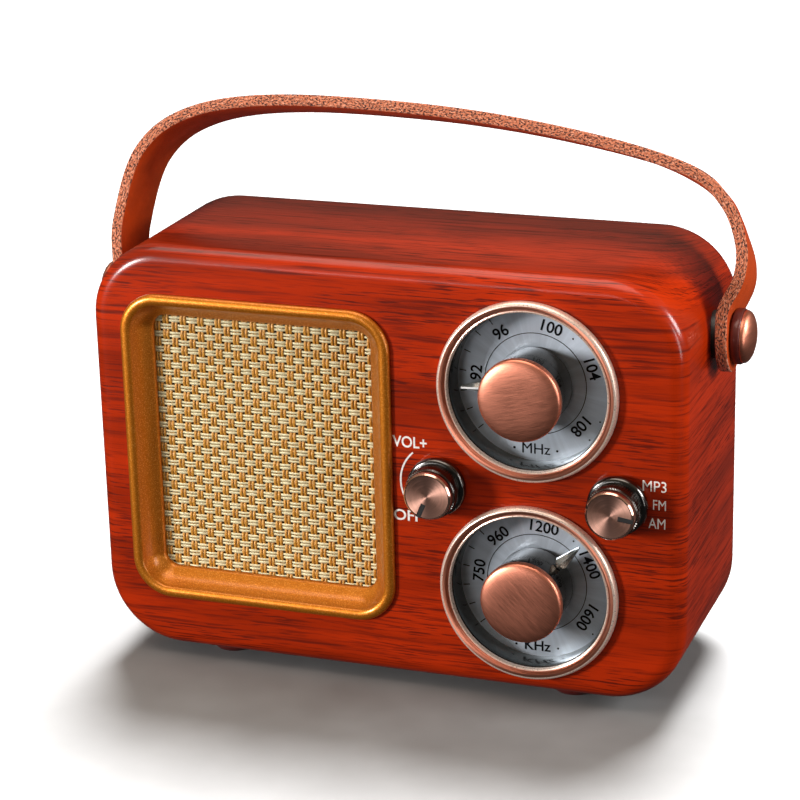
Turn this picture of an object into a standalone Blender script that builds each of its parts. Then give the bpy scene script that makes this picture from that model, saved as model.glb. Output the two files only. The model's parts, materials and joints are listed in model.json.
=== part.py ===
"""Small table radio with two round tuning dials, a cloth-covered speaker and a strap handle.

Metres, +Z up.  The front faces -Y and +X is the listener's right.  The origin is on the
surface that the feet stand on, under the middle of the whole radio.
"""

import math

import bmesh
import bpy
from mathutils import Matrix, Vector

# ---------------------------------------------------------------- driving dimensions
CLEARANCE = 0.0003
RUNNING_CLEARANCE = 0.0004

CABINET_WIDTH = 0.156
CABINET_HEIGHT = 0.109
CABINET_DEPTH = 0.064
CORNER_RADIUS = 0.020
FRONT_FILLET = 0.004
REAR_FILLET = 0.012
WALL = 0.0025
REAR_RIM_DEPTH = 0.005

FOOT_HEIGHT = 0.003
FOOT_RADIUS = 0.006
FOOT_SIDE_INSET = 0.031
FOOT_FRONT_INSET = 0.012

SPEAKER_FRAME_WIDTH = 0.0728
SPEAKER_FRAME_HEIGHT = 0.0826
SPEAKER_FRAME_RADIUS = 0.0105
SPEAKER_SIDE_MARGIN = 0.0086
SPEAKER_LIFT = 0.001
FRAME_RIM_PROUD = 0.0017
FRAME_RIM_WIDTH = 0.003
FRAME_WINDOW_INSET = 0.0068
FRAME_WINDOW_DEPTH = 0.004
FRAME_BACK_DEPTH = 0.0052
FRAME_NECK_INSET = 0.0021
CLOTH_THICKNESS = 0.0008
BAFFLE_THICKNESS = 0.002
BAFFLE_HOLE_RADIUS = 0.0265

SPEAKER_RADIUS = 0.0305
SPEAKER_DEPTH = 0.0135
BASKET_NECK_RADIUS = 0.0140
MAGNET_RADIUS = 0.018
MAGNET_THICKNESS = 0.008
COIL_RADIUS = 0.0088
POLE_RADIUS = 0.0076
CONE_TRAVEL = 0.0008

DIAL_SIDE_MARGIN = 0.0393
DIAL_SPACING = 0.0526
CONTROLS_DROP = 0.0011
BEZEL_RADIUS = 0.023
BEZEL_PROUD = 0.0022
PAN_RADIUS = 0.0200
PAN_WALL = 0.0008
PAN_DEPTH = 0.0063
PAN_FLOOR = 0.001
DIAL_KNOB_RADIUS = 0.0097
DIAL_CAP_RADIUS = 0.0104
DIAL_CAP_RIM_PROUD = 0.0074
DIAL_CAP_CROWN = 0.0013
DIAL_CAP_THICKNESS = 0.0016
POINTER_TIP_RADIUS = 0.0176
POINTER_WIDTH = 0.0034
POINTER_THICKNESS = 0.0016
POINTER_SETBACK = 0.0006
FM_POINTER_ANGLE = -92.5
AM_POINTER_ANGLE = 44.5
TUNER_SIZE = 0.020
TUNER_DEPTH = 0.012

SMALL_KNOB_OFFSET = 0.0231
SMALL_KNOB_SKIRT_RADIUS = 0.0076
SMALL_KNOB_BAND_RADIUS = 0.0065
SMALL_KNOB_CAP_RADIUS = 0.0061
SMALL_KNOB_PROUD = 0.0098
SMALL_CAP_THICKNESS = 0.0018
NOTCH_WIDTH = 0.0011
VOLUME_NOTCH_ANGLE = -157.0
BAND_NOTCH_ANGLE = 97.0
CONTROL_RADIUS = 0.0085
CONTROL_DEPTH = 0.008

SHAFT_RADIUS = 0.003

HANDLE_SETBACK = 0.030
HANDLE_PIVOT_DROP = 0.0205
HANDLE_LEAN = 18.0
STRAP_WIDTH = 0.018
STRAP_THICKNESS = 0.003
STRAP_RISE = 0.0507
STRAP_BOSS_RADIUS = 0.006
STRAP_BOSS_HEIGHT = 0.0013
STUD_SEAT_HEIGHT = 0.001
STUD_SHANK_RADIUS = 0.002
STUD_WASHER_RADIUS = 0.007
STUD_WASHER_THICKNESS = 0.0022
STUD_HEAD_RADIUS = 0.0066
STUD_HEAD_HEIGHT = 0.0026
STUD_NUT_THICKNESS = 0.003

COVER_RECESS = 0.002
COVER_THICKNESS = 0.0022
COVER_BOSS_INSET = 0.0195
COVER_BOSS_RADIUS = 0.0032
COVER_BOSS_LENGTH = 0.015
SCREW_RADIUS = 0.0013
SCREW_HEAD_RADIUS = 0.0028
SCREW_HEAD_HEIGHT = 0.0014
SCREW_LENGTH = 0.009

BATTERY_WIDTH = 0.053
BATTERY_HEIGHT = 0.034
BATTERY_THICKNESS = 0.0057
BATTERY_LIFT = 0.023
BATTERY_TRAY_WALL = 0.0012
DOOR_OVERLAP = 0.002
DOOR_THICKNESS = 0.0013

ANTENNA_PIVOT_SIDE = 0.052
ANTENNA_PIVOT_DROP = 0.0225
ANTENNA_RADII = (0.0022, 0.0015, 0.0009)
ANTENNA_LENGTH = 0.096
ANTENNA_TIP_RADIUS = 0.0020
ANTENNA_TIP_LENGTH = 0.005
KNUCKLE_RADIUS = 0.0036

BUTTON_RADIUS = 0.003
BUTTON_SPACING = 0.012
BUTTON_DROP = 0.036
BUTTON_PROUD = 0.0016
BUTTON_FLANGE_RADIUS = 0.0042
BUTTON_FLANGE_THICKNESS = 0.001

AUDIO_SOCKET_RADIUS = 0.0036
AUDIO_BORE_RADIUS = 0.00175
SOCKET_LENGTH = 0.009
CHARGE_SOCKET_SIZE = (0.0084, 0.0034)
CHARGE_MOUTH_SIZE = (0.0070, 0.0020)
SOCKET_SIDE = 0.046
SOCKET_ROW_DROP = 0.036

BOARD_SIZE = (0.046, 0.084)
BOARD_THICKNESS = 0.0016
ROD_RADIUS = 0.004
ROD_LENGTH = 0.080
ROD_TOP_GAP = 0.008
ROD_SETBACK = 0.038
COIL_WINDING_LENGTH = 0.018
COIL_WINDING_THICKNESS = 0.0008

LARGE_SEGMENTS = 32
MEDIUM_SEGMENTS = 20
SMALL_SEGMENTS = 12
CORNER_SEGMENTS = 6

# ---------------------------------------------------------------- places worked out from them
ANTENNA_RISE = COVER_RECESS + CLEARANCE + ANTENNA_RADII[0]
KNUCKLE_RISE = ANTENNA_RISE + 1.2 * ANTENNA_RADII[0]
REAR_PROUD = KNUCKLE_RISE - COVER_RECESS
FRONT = SMALL_KNOB_PROUD - (SMALL_KNOB_PROUD + CABINET_DEPTH + REAR_PROUD) / 2
BACK = FRONT + CABINET_DEPTH
BOTTOM = FOOT_HEIGHT
MID_HEIGHT = BOTTOM + CABINET_HEIGHT / 2
HALF_WIDTH = CABINET_WIDTH / 2
SPEAKER_X = -HALF_WIDTH + SPEAKER_SIDE_MARGIN + SPEAKER_FRAME_WIDTH / 2
SPEAKER_Z = MID_HEIGHT + SPEAKER_LIFT
DIAL_X = HALF_WIDTH - DIAL_SIDE_MARGIN
CONTROLS_Z = MID_HEIGHT - CONTROLS_DROP
FM_Z = CONTROLS_Z + DIAL_SPACING / 2
AM_Z = CONTROLS_Z - DIAL_SPACING / 2
PAN_BACK = PAN_DEPTH + PAN_FLOOR
CLOTH_FRONT = FRAME_BACK_DEPTH + CLEARANCE
BAFFLE_FRONT = CLOTH_FRONT + CLOTH_THICKNESS + CLEARANCE
SPEAKER_FRONT = BAFFLE_FRONT + BAFFLE_THICKNESS + CLEARANCE
COVER_OUTER = BACK - COVER_RECESS
COVER_INNER = COVER_OUTER - COVER_THICKNESS
COVER_INSET = REAR_FILLET + CLEARANCE
PIVOT_Y = FRONT + HANDLE_SETBACK
PIVOT_Z = BOTTOM + CABINET_HEIGHT - HANDLE_PIVOT_DROP
STRAP_X = HALF_WIDTH + STRAP_BOSS_HEIGHT + CLEARANCE + STRAP_THICKNESS / 2


# ---------------------------------------------------------------- materials
def make_material(name, colour, roughness, metallic=0.0):
    material = bpy.data.materials.new(name)
    material.use_nodes = True
    shader = material.node_tree.nodes["Principled BSDF"]
    shader.inputs["Base Color"].default_value = (*colour, 1.0)
    shader.inputs["Roughness"].default_value = roughness
    shader.inputs["Metallic"].default_value = metallic
    return material


# ---------------------------------------------------------------- modelling helpers
def add_object(name, bm, material, place=(0, 0, 0), turn=(0, 0, 0), parent=None):
    """Makes a named object from a bmesh, with its own place and rotation."""
    bmesh.ops.recalc_face_normals(bm, faces=bm.faces)
    if bm.calc_volume(signed=True) < 0:
        bmesh.ops.reverse_faces(bm, faces=bm.faces)
    mesh = bpy.data.meshes.new(name)
    bm.to_mesh(mesh)
    bm.free()
    mesh.shade_smooth()
    mesh.set_sharp_from_angle(angle=math.radians(35))
    if material:
        mesh.materials.append(material)
    piece = bpy.data.objects.new(name, mesh)
    bpy.context.collection.objects.link(piece)
    piece.rotation_euler = turn
    piece.location = Vector(place)
    if parent:
        piece.parent = parent
        piece.location = Vector(place) - parent.location
    return piece


def add_axis(name, place):
    """An empty on a joint's axis; the pieces that turn or slide with it are its children."""
    axis = bpy.data.objects.new(name, None)
    axis.location = place
    bpy.context.collection.objects.link(axis)
    return axis


def turned_bmesh(profile, segments, closed=True):
    """Spins a profile of (radius, height) points about Z."""
    bm = bmesh.new()
    verts = [bm.verts.new((radius, 0, height)) for radius, height in profile]
    edges = [bm.edges.new(pair) for pair in zip(verts, verts[1:])]
    if closed:
        edges.append(bm.edges.new((verts[-1], verts[0])))
    bmesh.ops.spin(bm, geom=verts + edges, cent=(0, 0, 0), axis=(0, 0, 1), angle=math.tau,
                   steps=segments, use_merge=True)
    bmesh.ops.remove_doubles(bm, verts=bm.verts, dist=1e-6)
    return bm


def turned(name, profile, material, place, turn, segments=MEDIUM_SEGMENTS, parent=None):
    """A turned piece: a ring when its profile keeps off the axis, a plug when it meets it."""
    on_axis = profile[0][0] == 0
    bm = turned_bmesh(profile, segments, closed=not on_axis)
    return add_object(name, bm, material, place, turn, parent)


FACING_FRONT = (math.pi / 2, 0, 0)
FACING_BACK = (-math.pi / 2, 0, 0)
FACING_RIGHT = (0, math.pi / 2, 0)
FACING_LEFT = (0, -math.pi / 2, 0)


def box_bmesh(size):
    bm = bmesh.new()
    bmesh.ops.create_cube(bm, size=1.0)
    bmesh.ops.scale(bm, vec=size, verts=bm.verts)
    return bm


def box(name, size, material, place, parent=None):
    return add_object(name, box_bmesh(size), material, place, parent=parent)


def cylinder_cutter(name, radius, length, place, turn, segments=MEDIUM_SEGMENTS):
    bm = bmesh.new()
    bmesh.ops.create_cone(bm, cap_ends=True, segments=segments, radius1=radius, radius2=radius,
                          depth=length)
    return as_tool(add_object(name, bm, None, place, turn))


def box_cutter(name, size, place):
    return as_tool(box(name, size, None, place))


def as_tool(piece):
    """Marks a shape that only cuts or joins another one."""
    piece.hide_render = True
    piece.display_type = "WIRE"
    return piece


def combine(target, tool, operation):
    modifier = target.modifiers.new(operation.lower(), "BOOLEAN")
    modifier.object = tool
    modifier.operation = operation
    modifier.solver = "EXACT"


def cut(target, *tools):
    for tool in tools:
        combine(target, tool, "DIFFERENCE")


def join(target, *tools):
    for tool in tools:
        combine(target, tool, "UNION")


def rounded_outline(width, height, radius):
    """Corner arcs of a rounded rectangle in X and Z, in order round it."""
    points = []
    for turn, (side, rise) in enumerate(((1, 1), (-1, 1), (-1, -1), (1, -1))):
        for step in range(CORNER_SEGMENTS + 1):
            angle = math.radians(90 * (turn + step / CORNER_SEGMENTS))
            points.append((side * (width / 2 - radius) + radius * math.cos(angle),
                           rise * (height / 2 - radius) + radius * math.sin(angle)))
    return points


def add_ring(bm, width, height, radius, inset, depth):
    """One rounded-rectangle loop, pulled in by inset, at a depth along Y."""
    corner = max(radius - inset, 0.0004)
    outline = rounded_outline(width - 2 * inset, height - 2 * inset, corner)
    return [bm.verts.new((x, depth, z)) for x, z in outline]


def bridge_rings(bm, rings, closed=False):
    """Joins each loop of points to the next; the last one meets the first, or both get an end."""
    following = rings[1:] + rings[:1] if closed else rings[1:]
    for ring, next_ring in zip(rings, following):
        for a, b, c, d in zip(ring, ring[1:] + ring[:1], next_ring[1:] + next_ring[:1], next_ring):
            bm.faces.new((a, b, c, d))
    if not closed:
        bm.faces.new(rings[0])
        bm.faces.new(rings[-1])


def rounded_plate(name, width, height, radius, inset, front, back, material, x, z, parent=None):
    bm = bmesh.new()
    rings = [add_ring(bm, width, height, radius, inset, depth) for depth in (front, back)]
    bridge_rings(bm, rings)
    return add_object(name, bm, material, (x, 0, z), parent=parent)


def quarter_arc(steps):
    return [math.radians(90 * step / steps) for step in range(steps + 1)]


# ---------------------------------------------------------------- cabinet
def cabinet_rings():
    """(inset, depth) stations from the middle of the front, over the outside, to the inside."""
    stations = [(FRONT_FILLET * (1 - math.sin(a)), FRONT_FILLET * (1 - math.cos(a)))
                for a in quarter_arc(4)]
    stations += [(REAR_FILLET * (1 - math.cos(a)), CABINET_DEPTH - REAR_FILLET * (1 - math.sin(a)))
                 for a in quarter_arc(5)]
    inner_radius = REAR_FILLET - WALL
    rim_rise = min(REAR_FILLET - REAR_RIM_DEPTH, inner_radius * 0.95)
    last = math.asin(rim_rise / inner_radius)
    stations.append((REAR_FILLET, CABINET_DEPTH - REAR_FILLET + rim_rise))
    for step in range(3, -1, -1):
        a = last * step / 3
        stations.append((REAR_FILLET - inner_radius * math.cos(a),
                         CABINET_DEPTH - REAR_FILLET + inner_radius * math.sin(a)))
    stations.append((WALL, WALL))
    return stations


def make_cabinet_shell(wood):
    bm = bmesh.new()
    rings = [add_ring(bm, CABINET_WIDTH, CABINET_HEIGHT, CORNER_RADIUS, inset, FRONT + depth)
             for inset, depth in cabinet_rings()]
    bridge_rings(bm, rings)
    shell = add_object("cabinet_shell", bm, wood, (0, 0, MID_HEIGHT))
    neck = FRAME_NECK_INSET - CLEARANCE
    opening = rounded_plate("speaker_opening", SPEAKER_FRAME_WIDTH, SPEAKER_FRAME_HEIGHT,
                            SPEAKER_FRAME_RADIUS, neck, FRONT - WALL, FRONT + 2 * WALL, None,
                            SPEAKER_X, SPEAKER_Z)
    cut(shell, as_tool(opening))
    for label, z in (("fm", FM_Z), ("am", AM_Z)):
        cut(shell, cylinder_cutter(label + "_dial_hole", PAN_RADIUS + PAN_WALL + CLEARANCE, 4 * WALL,
                                   (DIAL_X, FRONT, z), FACING_FRONT, LARGE_SEGMENTS))
    for label, side in (("volume", -1), ("band", 1)):
        cut(shell, cylinder_cutter(label + "_shaft_hole", SHAFT_RADIUS + RUNNING_CLEARANCE, 4 * WALL,
                                   (DIAL_X + side * SMALL_KNOB_OFFSET, FRONT, CONTROLS_Z),
                                   FACING_FRONT, SMALL_SEGMENTS))
    for label, side in (("left", -1), ("right", 1)):
        depth = STRAP_BOSS_HEIGHT + WALL + STUD_SEAT_HEIGHT
        join(shell, cylinder_cutter(label + "_strap_boss", STRAP_BOSS_RADIUS, depth,
                                    (side * (HALF_WIDTH + STRAP_BOSS_HEIGHT - depth / 2), PIVOT_Y,
                                     PIVOT_Z), FACING_RIGHT))
        cut(shell, cylinder_cutter(label + "_stud_hole", STUD_SHANK_RADIUS + CLEARANCE, 8 * WALL,
                                   (side * HALF_WIDTH, PIVOT_Y, PIVOT_Z), FACING_RIGHT,
                                   SMALL_SEGMENTS))
    boss_back = COVER_INNER - CLEARANCE
    for number, (x, z) in enumerate(cover_corners(), 1):
        side = math.copysign(1, x)
        join(shell, cylinder_cutter(f"cover_boss_{number}", COVER_BOSS_RADIUS, COVER_BOSS_LENGTH,
                                    (x, boss_back - COVER_BOSS_LENGTH / 2, z), FACING_FRONT,
                                    SMALL_SEGMENTS))
        rib_end = HALF_WIDTH - WALL / 2
        rib_depth = COVER_BOSS_LENGTH * 0.6
        rib_width = rib_end - abs(x)
        join(shell, box_cutter(f"cover_rib_{number}", (rib_width, rib_depth, WALL),
                               (side * (abs(x) + rib_width / 2),
                                boss_back - COVER_BOSS_LENGTH + rib_depth / 2, z)))
        cut(shell, cylinder_cutter(f"cover_boss_hole_{number}", SCREW_RADIUS + CLEARANCE,
                                   2 * (SCREW_LENGTH + CLEARANCE), (x, COVER_OUTER, z),
                                   FACING_FRONT, SMALL_SEGMENTS))
    return shell


def cover_corners():
    x = HALF_WIDTH - COVER_BOSS_INSET
    rise = CABINET_HEIGHT / 2 - COVER_BOSS_INSET
    return [(sx * x, MID_HEIGHT + sz * rise) for sx in (-1, 1) for sz in (-1, 1)]


def make_feet(rubber):
    x = HALF_WIDTH - FOOT_SIDE_INSET
    profile = [(0, 0), (FOOT_RADIUS * 0.88, 0), (FOOT_RADIUS, FOOT_HEIGHT * 0.35),
               (FOOT_RADIUS, FOOT_HEIGHT - CLEARANCE), (0, FOOT_HEIGHT - CLEARANCE)]
    for end, y in (("front", FRONT + FOOT_FRONT_INSET), ("rear", BACK - FOOT_FRONT_INSET)):
        for side, sign in (("left", -1), ("right", 1)):
            turned(f"foot_{end}_{side}", profile, rubber, (sign * x, y, 0), (0, 0, 0))


# ---------------------------------------------------------------- speaker
def make_speaker_frame(gold):
    rim = FRAME_RIM_PROUD
    section = [(0, -CLEARANCE), (0, -0.45 * rim), (0.15 * FRAME_RIM_WIDTH, -0.82 * rim),
               (0.5 * FRAME_RIM_WIDTH, -rim), (0.85 * FRAME_RIM_WIDTH, -0.82 * rim),
               (FRAME_RIM_WIDTH, -0.45 * rim), (FRAME_WINDOW_INSET, FRAME_WINDOW_DEPTH),
               (FRAME_WINDOW_INSET, FRAME_BACK_DEPTH),
               (FRAME_NECK_INSET + 0.0025, FRAME_BACK_DEPTH),
               (FRAME_NECK_INSET, FRAME_BACK_DEPTH - 0.0023), (FRAME_NECK_INSET, -CLEARANCE)]
    bm = bmesh.new()
    rings = [add_ring(bm, SPEAKER_FRAME_WIDTH, SPEAKER_FRAME_HEIGHT, SPEAKER_FRAME_RADIUS, inset,
                      FRONT + depth) for inset, depth in section]
    bridge_rings(bm, rings, closed=True)
    add_object("speaker_frame", bm, gold, (SPEAKER_X, 0, SPEAKER_Z))


def make_speaker_panel(cloth, board):
    outline = (SPEAKER_FRAME_WIDTH, SPEAKER_FRAME_HEIGHT, SPEAKER_FRAME_RADIUS)
    rounded_plate("speaker_cloth", *outline, FRAME_NECK_INSET + 0.002, FRONT + CLOTH_FRONT,
                  FRONT + CLOTH_FRONT + CLOTH_THICKNESS, cloth, SPEAKER_X, SPEAKER_Z)
    baffle = rounded_plate("speaker_baffle", *outline, FRAME_NECK_INSET - 0.003,
                           FRONT + BAFFLE_FRONT, FRONT + BAFFLE_FRONT + BAFFLE_THICKNESS, board,
                           SPEAKER_X, SPEAKER_Z)
    cut(baffle, cylinder_cutter("baffle_hole", BAFFLE_HOLE_RADIUS, 4 * BAFFLE_THICKNESS,
                                (SPEAKER_X, FRONT + BAFFLE_FRONT, SPEAKER_Z), FACING_FRONT,
                                LARGE_SEGMENTS))


def make_speaker(steel, magnet_material, paper, copper):
    """The driver, with heights counted from its flange's front towards the back."""
    place = (SPEAKER_X, FRONT + SPEAKER_FRONT, SPEAKER_Z)
    flange = 0.0015
    wall = 0.0009
    rim = BAFFLE_HOLE_RADIUS + 0.0005
    plate_front = SPEAKER_DEPTH - wall
    bore = COIL_RADIUS + RUNNING_CLEARANCE
    shoulder = 2 * flange + 2 * CONE_TRAVEL
    basket = [(SPEAKER_RADIUS, 0), (SPEAKER_RADIUS, flange), (rim + wall, flange),
              (rim + wall, shoulder), (BASKET_NECK_RADIUS + wall, SPEAKER_DEPTH),
              (bore, SPEAKER_DEPTH), (bore, plate_front), (BASKET_NECK_RADIUS, plate_front),
              (rim, shoulder), (rim, 0)]
    turned("speaker_basket", basket, steel, place, FACING_BACK, LARGE_SEGMENTS)
    magnet_front = SPEAKER_DEPTH + CLEARANCE
    magnet_back = magnet_front + MAGNET_THICKNESS
    gap_floor = magnet_front + MAGNET_THICKNESS * 0.7
    pole_front = magnet_front - 0.003
    magnet = [(0, pole_front), (POLE_RADIUS, pole_front),
              (POLE_RADIUS, gap_floor), (bore, gap_floor), (bore, magnet_front),
              (MAGNET_RADIUS, magnet_front), (MAGNET_RADIUS, magnet_back), (0, magnet_back)]
    turned("speaker_magnet", magnet, magnet_material, place, FACING_BACK)
    axis = add_axis("speaker_cone_axis", place)
    edge = rim - RUNNING_CLEARANCE
    skin = 0.0005
    neck = 0.0078
    front = CONE_TRAVEL + CLEARANCE
    neck_front = pole_front - CONE_TRAVEL - CLEARANCE - skin * 1.6
    cone = [(0, neck_front - 0.003), (neck * 0.6, neck_front - 0.002), (neck, neck_front),
            (edge - 0.003, front + 0.0009), (edge - 0.0015, front), (edge, front + 0.0009),
            (edge, front + 0.0009 + skin), (edge - 0.0015, front + skin),
            (edge - 0.003, front + 0.0009 + skin), (neck, neck_front + skin * 1.6),
            (neck * 0.6, neck_front - 0.002 + skin), (0, neck_front - 0.003 + skin)]
    turned("speaker_cone", cone, paper, place, FACING_BACK, LARGE_SEGMENTS, axis)
    coil_front = neck_front + skin * 1.6 + CLEARANCE
    coil_back = gap_floor - CONE_TRAVEL - CLEARANCE
    inner = POLE_RADIUS + RUNNING_CLEARANCE
    coil = [(COIL_RADIUS, coil_front), (COIL_RADIUS, coil_back), (inner, coil_back),
            (inner, coil_front)]
    turned("voice_coil", coil, copper, place, FACING_BACK, MEDIUM_SEGMENTS, axis)


# ---------------------------------------------------------------- tuning dials
def make_dial(label, z, pointer_angle, copper, silver, chrome, dark):
    """One dial: bezel ring, recessed pan, and the knob with its pointer, cap and shaft."""
    centre = (DIAL_X, FRONT, z)
    inner = PAN_RADIUS + 0.0002
    middle = (BEZEL_RADIUS + inner) / 2
    bezel = [(inner, CLEARANCE), (BEZEL_RADIUS, CLEARANCE), (BEZEL_RADIUS, BEZEL_PROUD * 0.5),
             (BEZEL_RADIUS - 0.0004, BEZEL_PROUD * 0.82), (middle, BEZEL_PROUD),
             (inner + 0.0004, BEZEL_PROUD * 0.82), (inner, BEZEL_PROUD * 0.5)]
    turned(label + "_bezel", bezel, copper, centre, FACING_FRONT, LARGE_SEGMENTS)
    hole = SHAFT_RADIUS + RUNNING_CLEARANCE
    outer = PAN_RADIUS + PAN_WALL
    pan = [(hole, -PAN_BACK), (outer, -PAN_BACK), (outer, 0), (PAN_RADIUS, 0),
           (PAN_RADIUS, -PAN_DEPTH), (hole, -PAN_DEPTH)]
    turned(label + "_dial_pan", pan, silver, centre, FACING_FRONT, LARGE_SEGMENTS)
    axis = add_axis(label + "_knob_axis", centre)
    cap_back = DIAL_CAP_RIM_PROUD - DIAL_CAP_THICKNESS
    cap = [(0, cap_back), (DIAL_CAP_RADIUS - 0.0003, cap_back), (DIAL_CAP_RADIUS, cap_back + 0.0003),
           (DIAL_CAP_RADIUS, DIAL_CAP_RIM_PROUD - 0.0003),
           (DIAL_CAP_RADIUS * 0.93, DIAL_CAP_RIM_PROUD + DIAL_CAP_CROWN * 0.3),
           (DIAL_CAP_RADIUS * 0.6, DIAL_CAP_RIM_PROUD + DIAL_CAP_CROWN * 0.8),
           (0, DIAL_CAP_RIM_PROUD + DIAL_CAP_CROWN)]
    turned(label + "_knob_cap", cap, copper, centre, FACING_FRONT, LARGE_SEGMENTS, axis)
    body_front = cap_back - CLEARANCE
    body_back = -PAN_DEPTH + 2 * RUNNING_CLEARANCE
    shaft_front = body_front - 0.003
    body = [(0, body_front), (DIAL_KNOB_RADIUS, body_front), (DIAL_KNOB_RADIUS, body_back),
            (SHAFT_RADIUS + CLEARANCE, body_back), (SHAFT_RADIUS + CLEARANCE, shaft_front + CLEARANCE),
            (0, shaft_front + CLEARANCE)]
    turned(label + "_knob_body", body, chrome, centre, FACING_FRONT, LARGE_SEGMENTS, axis)
    make_pointer(label + "_pointer", centre, pointer_angle, dark, axis)
    shaft_back = -PAN_BACK - TUNER_DEPTH * 0.7
    shaft = [(0, shaft_front), (SHAFT_RADIUS, shaft_front), (SHAFT_RADIUS, shaft_back),
             (0, shaft_back)]
    turned(label + "_tuning_shaft", shaft, dark, centre, FACING_FRONT, SMALL_SEGMENTS, axis)


def make_pointer(name, centre, angle, material, axis):
    """A tapered blade with a ridge along its front, starting at the knob's side."""
    root = DIAL_KNOB_RADIUS + CLEARANCE
    half_root = POINTER_WIDTH / 2
    half_tip = POINTER_WIDTH * 0.18
    back = -POINTER_SETBACK - POINTER_THICKNESS
    bm = bmesh.new()
    root_section = [(-half_root, back), (half_root, back), (0, -POINTER_SETBACK)]
    tip_section = [(-half_tip, back), (half_tip, back), (0, -POINTER_SETBACK - 0.0006)]
    verts = [bm.verts.new((x, root, height)) for x, height in root_section]
    start = bm.faces.new(verts)
    extruded = bmesh.ops.extrude_face_region(bm, geom=[start])["geom"]
    end_verts = [item for item in extruded if isinstance(item, bmesh.types.BMVert)]
    end_verts.sort(key=lambda vert: (vert.co.z > back + 1e-5, vert.co.x))
    tip_section.sort(key=lambda point: (point[1] > back + 1e-5, point[0]))
    for vert, (x, height) in zip(end_verts, tip_section):
        vert.co = (x, POINTER_TIP_RADIUS, height)
    bmesh.ops.rotate(bm, verts=bm.verts, cent=(0, 0, 0),
                     matrix=Matrix.Rotation(-math.radians(angle), 3, "Z"))
    add_object(name, bm, material, centre, FACING_FRONT, axis)


def make_tuner(label, z, material):
    depth_centre = FRONT + PAN_BACK + CLEARANCE + TUNER_DEPTH / 2
    tuner = box(label + "_tuner", (TUNER_SIZE, TUNER_DEPTH, TUNER_SIZE), material,
                (DIAL_X, depth_centre, z))
    cut(tuner, cylinder_cutter(label + "_tuner_bore", SHAFT_RADIUS + RUNNING_CLEARANCE,
                               2 * TUNER_DEPTH * 0.8,
                               (DIAL_X, FRONT + PAN_BACK + CLEARANCE, z), FACING_FRONT,
                               SMALL_SEGMENTS))


# ---------------------------------------------------------------- volume and band knobs
def make_small_knob(label, side, notch_angle, copper, chrome, dark):
    x = DIAL_X + side * SMALL_KNOB_OFFSET
    centre = (x, FRONT, CONTROLS_Z)
    axis = add_axis(label + "_knob_axis", centre)
    cap_back = SMALL_KNOB_PROUD - SMALL_CAP_THICKNESS
    chamfer = 0.0004
    cap = [(0, cap_back), (SMALL_KNOB_CAP_RADIUS, cap_back),
           (SMALL_KNOB_CAP_RADIUS, SMALL_KNOB_PROUD - chamfer),
           (SMALL_KNOB_CAP_RADIUS - chamfer, SMALL_KNOB_PROUD), (0, SMALL_KNOB_PROUD)]
    piece = turned(label + "_knob_cap", cap, copper, centre, FACING_FRONT, MEDIUM_SEGMENTS, axis)
    notch_length = SMALL_KNOB_CAP_RADIUS * 0.68
    middle = SMALL_KNOB_CAP_RADIUS + CLEARANCE - notch_length / 2
    notch = box_bmesh((NOTCH_WIDTH, notch_length, 0.0012))
    bmesh.ops.translate(notch, vec=(0, middle, SMALL_KNOB_PROUD), verts=notch.verts)
    bmesh.ops.rotate(notch, verts=notch.verts, cent=(0, 0, 0),
                     matrix=Matrix.Rotation(-math.radians(notch_angle), 3, "Z"))
    cut(piece, as_tool(add_object(label + "_notch", notch, None, centre, FACING_FRONT)))
    front = cap_back - CLEARANCE
    shaft_front = front - 0.002
    back = 2 * CLEARANCE
    skirt_top = SMALL_KNOB_PROUD * 0.36
    bore = SHAFT_RADIUS + CLEARANCE
    body = [(0, front), (SMALL_KNOB_BAND_RADIUS, front), (SMALL_KNOB_BAND_RADIUS, skirt_top),
            (SMALL_KNOB_SKIRT_RADIUS * 0.93, skirt_top), (SMALL_KNOB_SKIRT_RADIUS, skirt_top * 0.5),
            (SMALL_KNOB_SKIRT_RADIUS, back), (bore, back), (bore, shaft_front + CLEARANCE),
            (0, shaft_front + CLEARANCE)]
    turned(label + "_knob_body", body, chrome, centre, FACING_FRONT, MEDIUM_SEGMENTS, axis)
    control_front = WALL + CLEARANCE
    shaft_back = -control_front - CONTROL_DEPTH * 0.6
    shaft = [(0, shaft_front), (SHAFT_RADIUS, shaft_front), (SHAFT_RADIUS, shaft_back),
             (0, shaft_back)]
    turned(label + "_shaft", shaft, dark, centre, FACING_FRONT, SMALL_SEGMENTS, axis)
    inner = SHAFT_RADIUS + RUNNING_CLEARANCE
    floor = shaft_back - RUNNING_CLEARANCE
    control = [(0, floor), (inner, floor), (inner, -control_front), (CONTROL_RADIUS, -control_front),
               (CONTROL_RADIUS, -control_front - CONTROL_DEPTH), (0, -control_front - CONTROL_DEPTH)]
    turned(label + "_control", control, dark, centre, FACING_FRONT, SMALL_SEGMENTS)


# ---------------------------------------------------------------- handle
def strap_path():
    """Knots of the strap's middle line as (x, height over the studs); it has taken a set."""
    left = -STRAP_X
    right = STRAP_X
    rise = STRAP_RISE
    return [(left, 0), (left, 0.006), (left - 0.0008, 0.017), (left + 0.0036, rise * 0.70),
            (left + 0.0165, rise * 0.909), (left + 0.041, rise * 0.998), (0, rise * 0.995),
            (right - 0.038, rise * 0.90), (right - 0.0127, rise * 0.77), (right + 0.0024, rise * 0.475),
            (right + 0.0032, 0.014), (right, 0.006), (right, 0)]


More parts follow.
